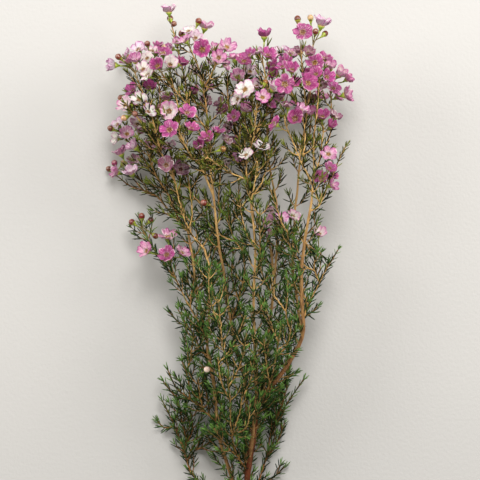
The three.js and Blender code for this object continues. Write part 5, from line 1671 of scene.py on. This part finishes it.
class WAXFLOWER_OT_stage(bpy.types.Operator):
    """Lay a plain pale floor, hang soft lights and set the camera over the stem"""

    bl_idname = "waxflower.stage"
    bl_label = "Stage"

    def execute(self, context):
        bm = bmesh.new()
        bmesh.ops.create_grid(bm, x_segments=FLOOR_GRID, y_segments=FLOOR_GRID, size=FLOOR_HALF)
        floor = mesh_object(bm, "floor", "floor")
        for light in LIGHTS:
            add_light(*light)
        add_surroundings(context.scene)
        add_camera(context.scene)
        return {"FINISHED"}


class WAXFLOWER_OT_wood(bpy.types.Operator):
    """Grow the forked woody stem with its bark and its cut end"""

    bl_idname = "waxflower.wood"
    bl_label = "Woody stem"

    def execute(self, context):
        whole = bmesh.new()
        for number, limb in enumerate(LIMBS):
            route = limb_route(limb)
            bm = bmesh.new()
            grow(bm, route, BARK_SIDES, bark_marks(route))
            if number == 0:
                cut_face(bm, route)
            add_part(whole, bm)
        finish_piece(whole, "wood", "bark", ["woody_stem"])
        return {"FINISHED"}


class WAXFLOWER_OT_twigs(bpy.types.Operator):
    """Grow the flowering twigs, the leafy shoots and the side shoots, with all their needles"""

    bl_idname = "waxflower.twigs"
    bl_label = "Twigs and needles"

    def execute(self, context):
        foliage = Foliage(*sizes_and_draws(context, "twigs"))
        leads = cluster_leads()
        limbs = [limb_route(limb) for limb in LIMBS]
        wood = [point for limb in limbs for point, _ in limb]
        for kind, spacing in (("flowering_twig", foliage.flowering), ("leafy_shoot", foliage.leafy)):
            whole, sprigs = bmesh.new(), bmesh.new()
            names = [name for name in TWIGS if name.startswith(kind)]
            for name in names:
                # A node's first path starts on the wood, and the others on what the node has grown.
                grown = []
                for path in TWIGS[name]:
                    route, bare = rooted(twig_route(path), grown or wood), 0.0
                    if isinstance(path[-1], str):
                        bare = BARE_TIP if CLUSTERS[path[-1]][1] else 0.0
                        route += hub_route(path[-1], leads[path[-1]])
                        foliage.add_sprigs(sprigs, route)
                    foliage.add_twig(whole, route, spacing, kind, bare=bare)
                    foliage.add_side_shoots(sprigs, route, TWIG_FACTOR)
                    grown += [point for point, _ in route]
            finish_piece(whole, kind + "s", "leaf", names)
            finish_piece(sprigs, kind + "_sprigs", "leaf")
        whole = bmesh.new()
        for limb in limbs:
            foliage.add_side_shoots(whole, limb, 1)
        finish_piece(whole, "side_shoots", "leaf")
        return {"FINISHED"}


class WAXFLOWER_OT_blooms(bpy.types.Operator):
    """Set every bloom and bud on its stalk, with petals, cup, stamens and style"""

    bl_idname = "waxflower.blooms"
    bl_label = "Blooms and buds"

    def execute(self, context):
        sizes, draws = sizes_and_draws(context, "blooms")
        blooms = collect_blooms()
        spread_blooms(blooms, layout_segments())
        pieces = {slot: bmesh.new() for slot in BLOOM_PIECES}
        nodes = {slot: set() for slot in pieces}
        stamen, leads = stamen_template(), cluster_leads()
        for cluster, (tip, _, _) in CLUSTERS.items():
            lead = leads[cluster]
            own = [bloom for bloom in blooms if bloom.cluster == cluster]
            for number, bloom in enumerate(own):
                share = FIRST_STALK + STALK_SPAN * (number + 0.5) / len(own)
                root = Vector(grid_point(*tip)) + lead * HUB_LENGTH * share
                root += sway(root)
                if bloom.axis:
                    add_bloom(pieces, bloom, root, lead, stamen, sizes.petal_thickness / MM, draws)
                    used = (TINTS[bloom.tint][0], "cup", "anther")
                else:
                    add_bud(pieces, bloom, root, lead, draws)
                    used = ("bud", "cup")
                for slot in used:
                    nodes[slot].add(cluster.replace("c", "blooms_"))
        for column, row, height, tint in LONE_BUDS:
            place = Vector(grid_point(column, row, height))
            bud = Bloom("", place, 2 * BUD_RADIUS, tint, None)
            add_bud(pieces, bud, nearest_stop(place + LONE_BUD_ROOT), Vector((0, 1, 0)), draws)
        for slot, whole in pieces.items():
            finish_piece(whole, BLOOM_PIECES[slot], slot, sorted(nodes[slot]))
        return {"FINISHED"}


class WAXFLOWER_PT_panel(bpy.types.Panel):
    bl_idname = "WAXFLOWER_PT_panel"
    bl_label = "Waxflower stem"
    bl_space_type = "VIEW_3D"
    bl_region_type = "UI"
    bl_category = "Waxflower"

    def draw(self, context):
        for settings in (context.scene.waxflower_sizes, context.scene.waxflower_colours):
            for name in settings.__annotations__:
                self.layout.prop(settings, name)
        for operator in OPERATORS:
            self.layout.operator(operator.bl_idname)


OPERATORS = (WAXFLOWER_OT_stage, WAXFLOWER_OT_wood, WAXFLOWER_OT_twigs, WAXFLOWER_OT_blooms)
CLASSES = (WaxflowerSizes, WaxflowerColours, *OPERATORS, WAXFLOWER_PT_panel)


def register():
    for cls in CLASSES:
        bpy.utils.register_class(cls)
    bpy.types.Scene.waxflower_sizes = bpy.props.PointerProperty(type=WaxflowerSizes)
    bpy.types.Scene.waxflower_colours = bpy.props.PointerProperty(type=WaxflowerColours)


def unregister():
    del bpy.types.Scene.waxflower_colours
    del bpy.types.Scene.waxflower_sizes
    for cls in reversed(CLASSES):
        bpy.utils.unregister_class(cls)


def main():
    register()
    STATE["shift"] = grid_to_frame()
    bpy.ops.waxflower.stage()
    bpy.ops.waxflower.wood()
    bpy.ops.waxflower.twigs()
    bpy.ops.waxflower.blooms()


if __name__ == "__main__":
    main()
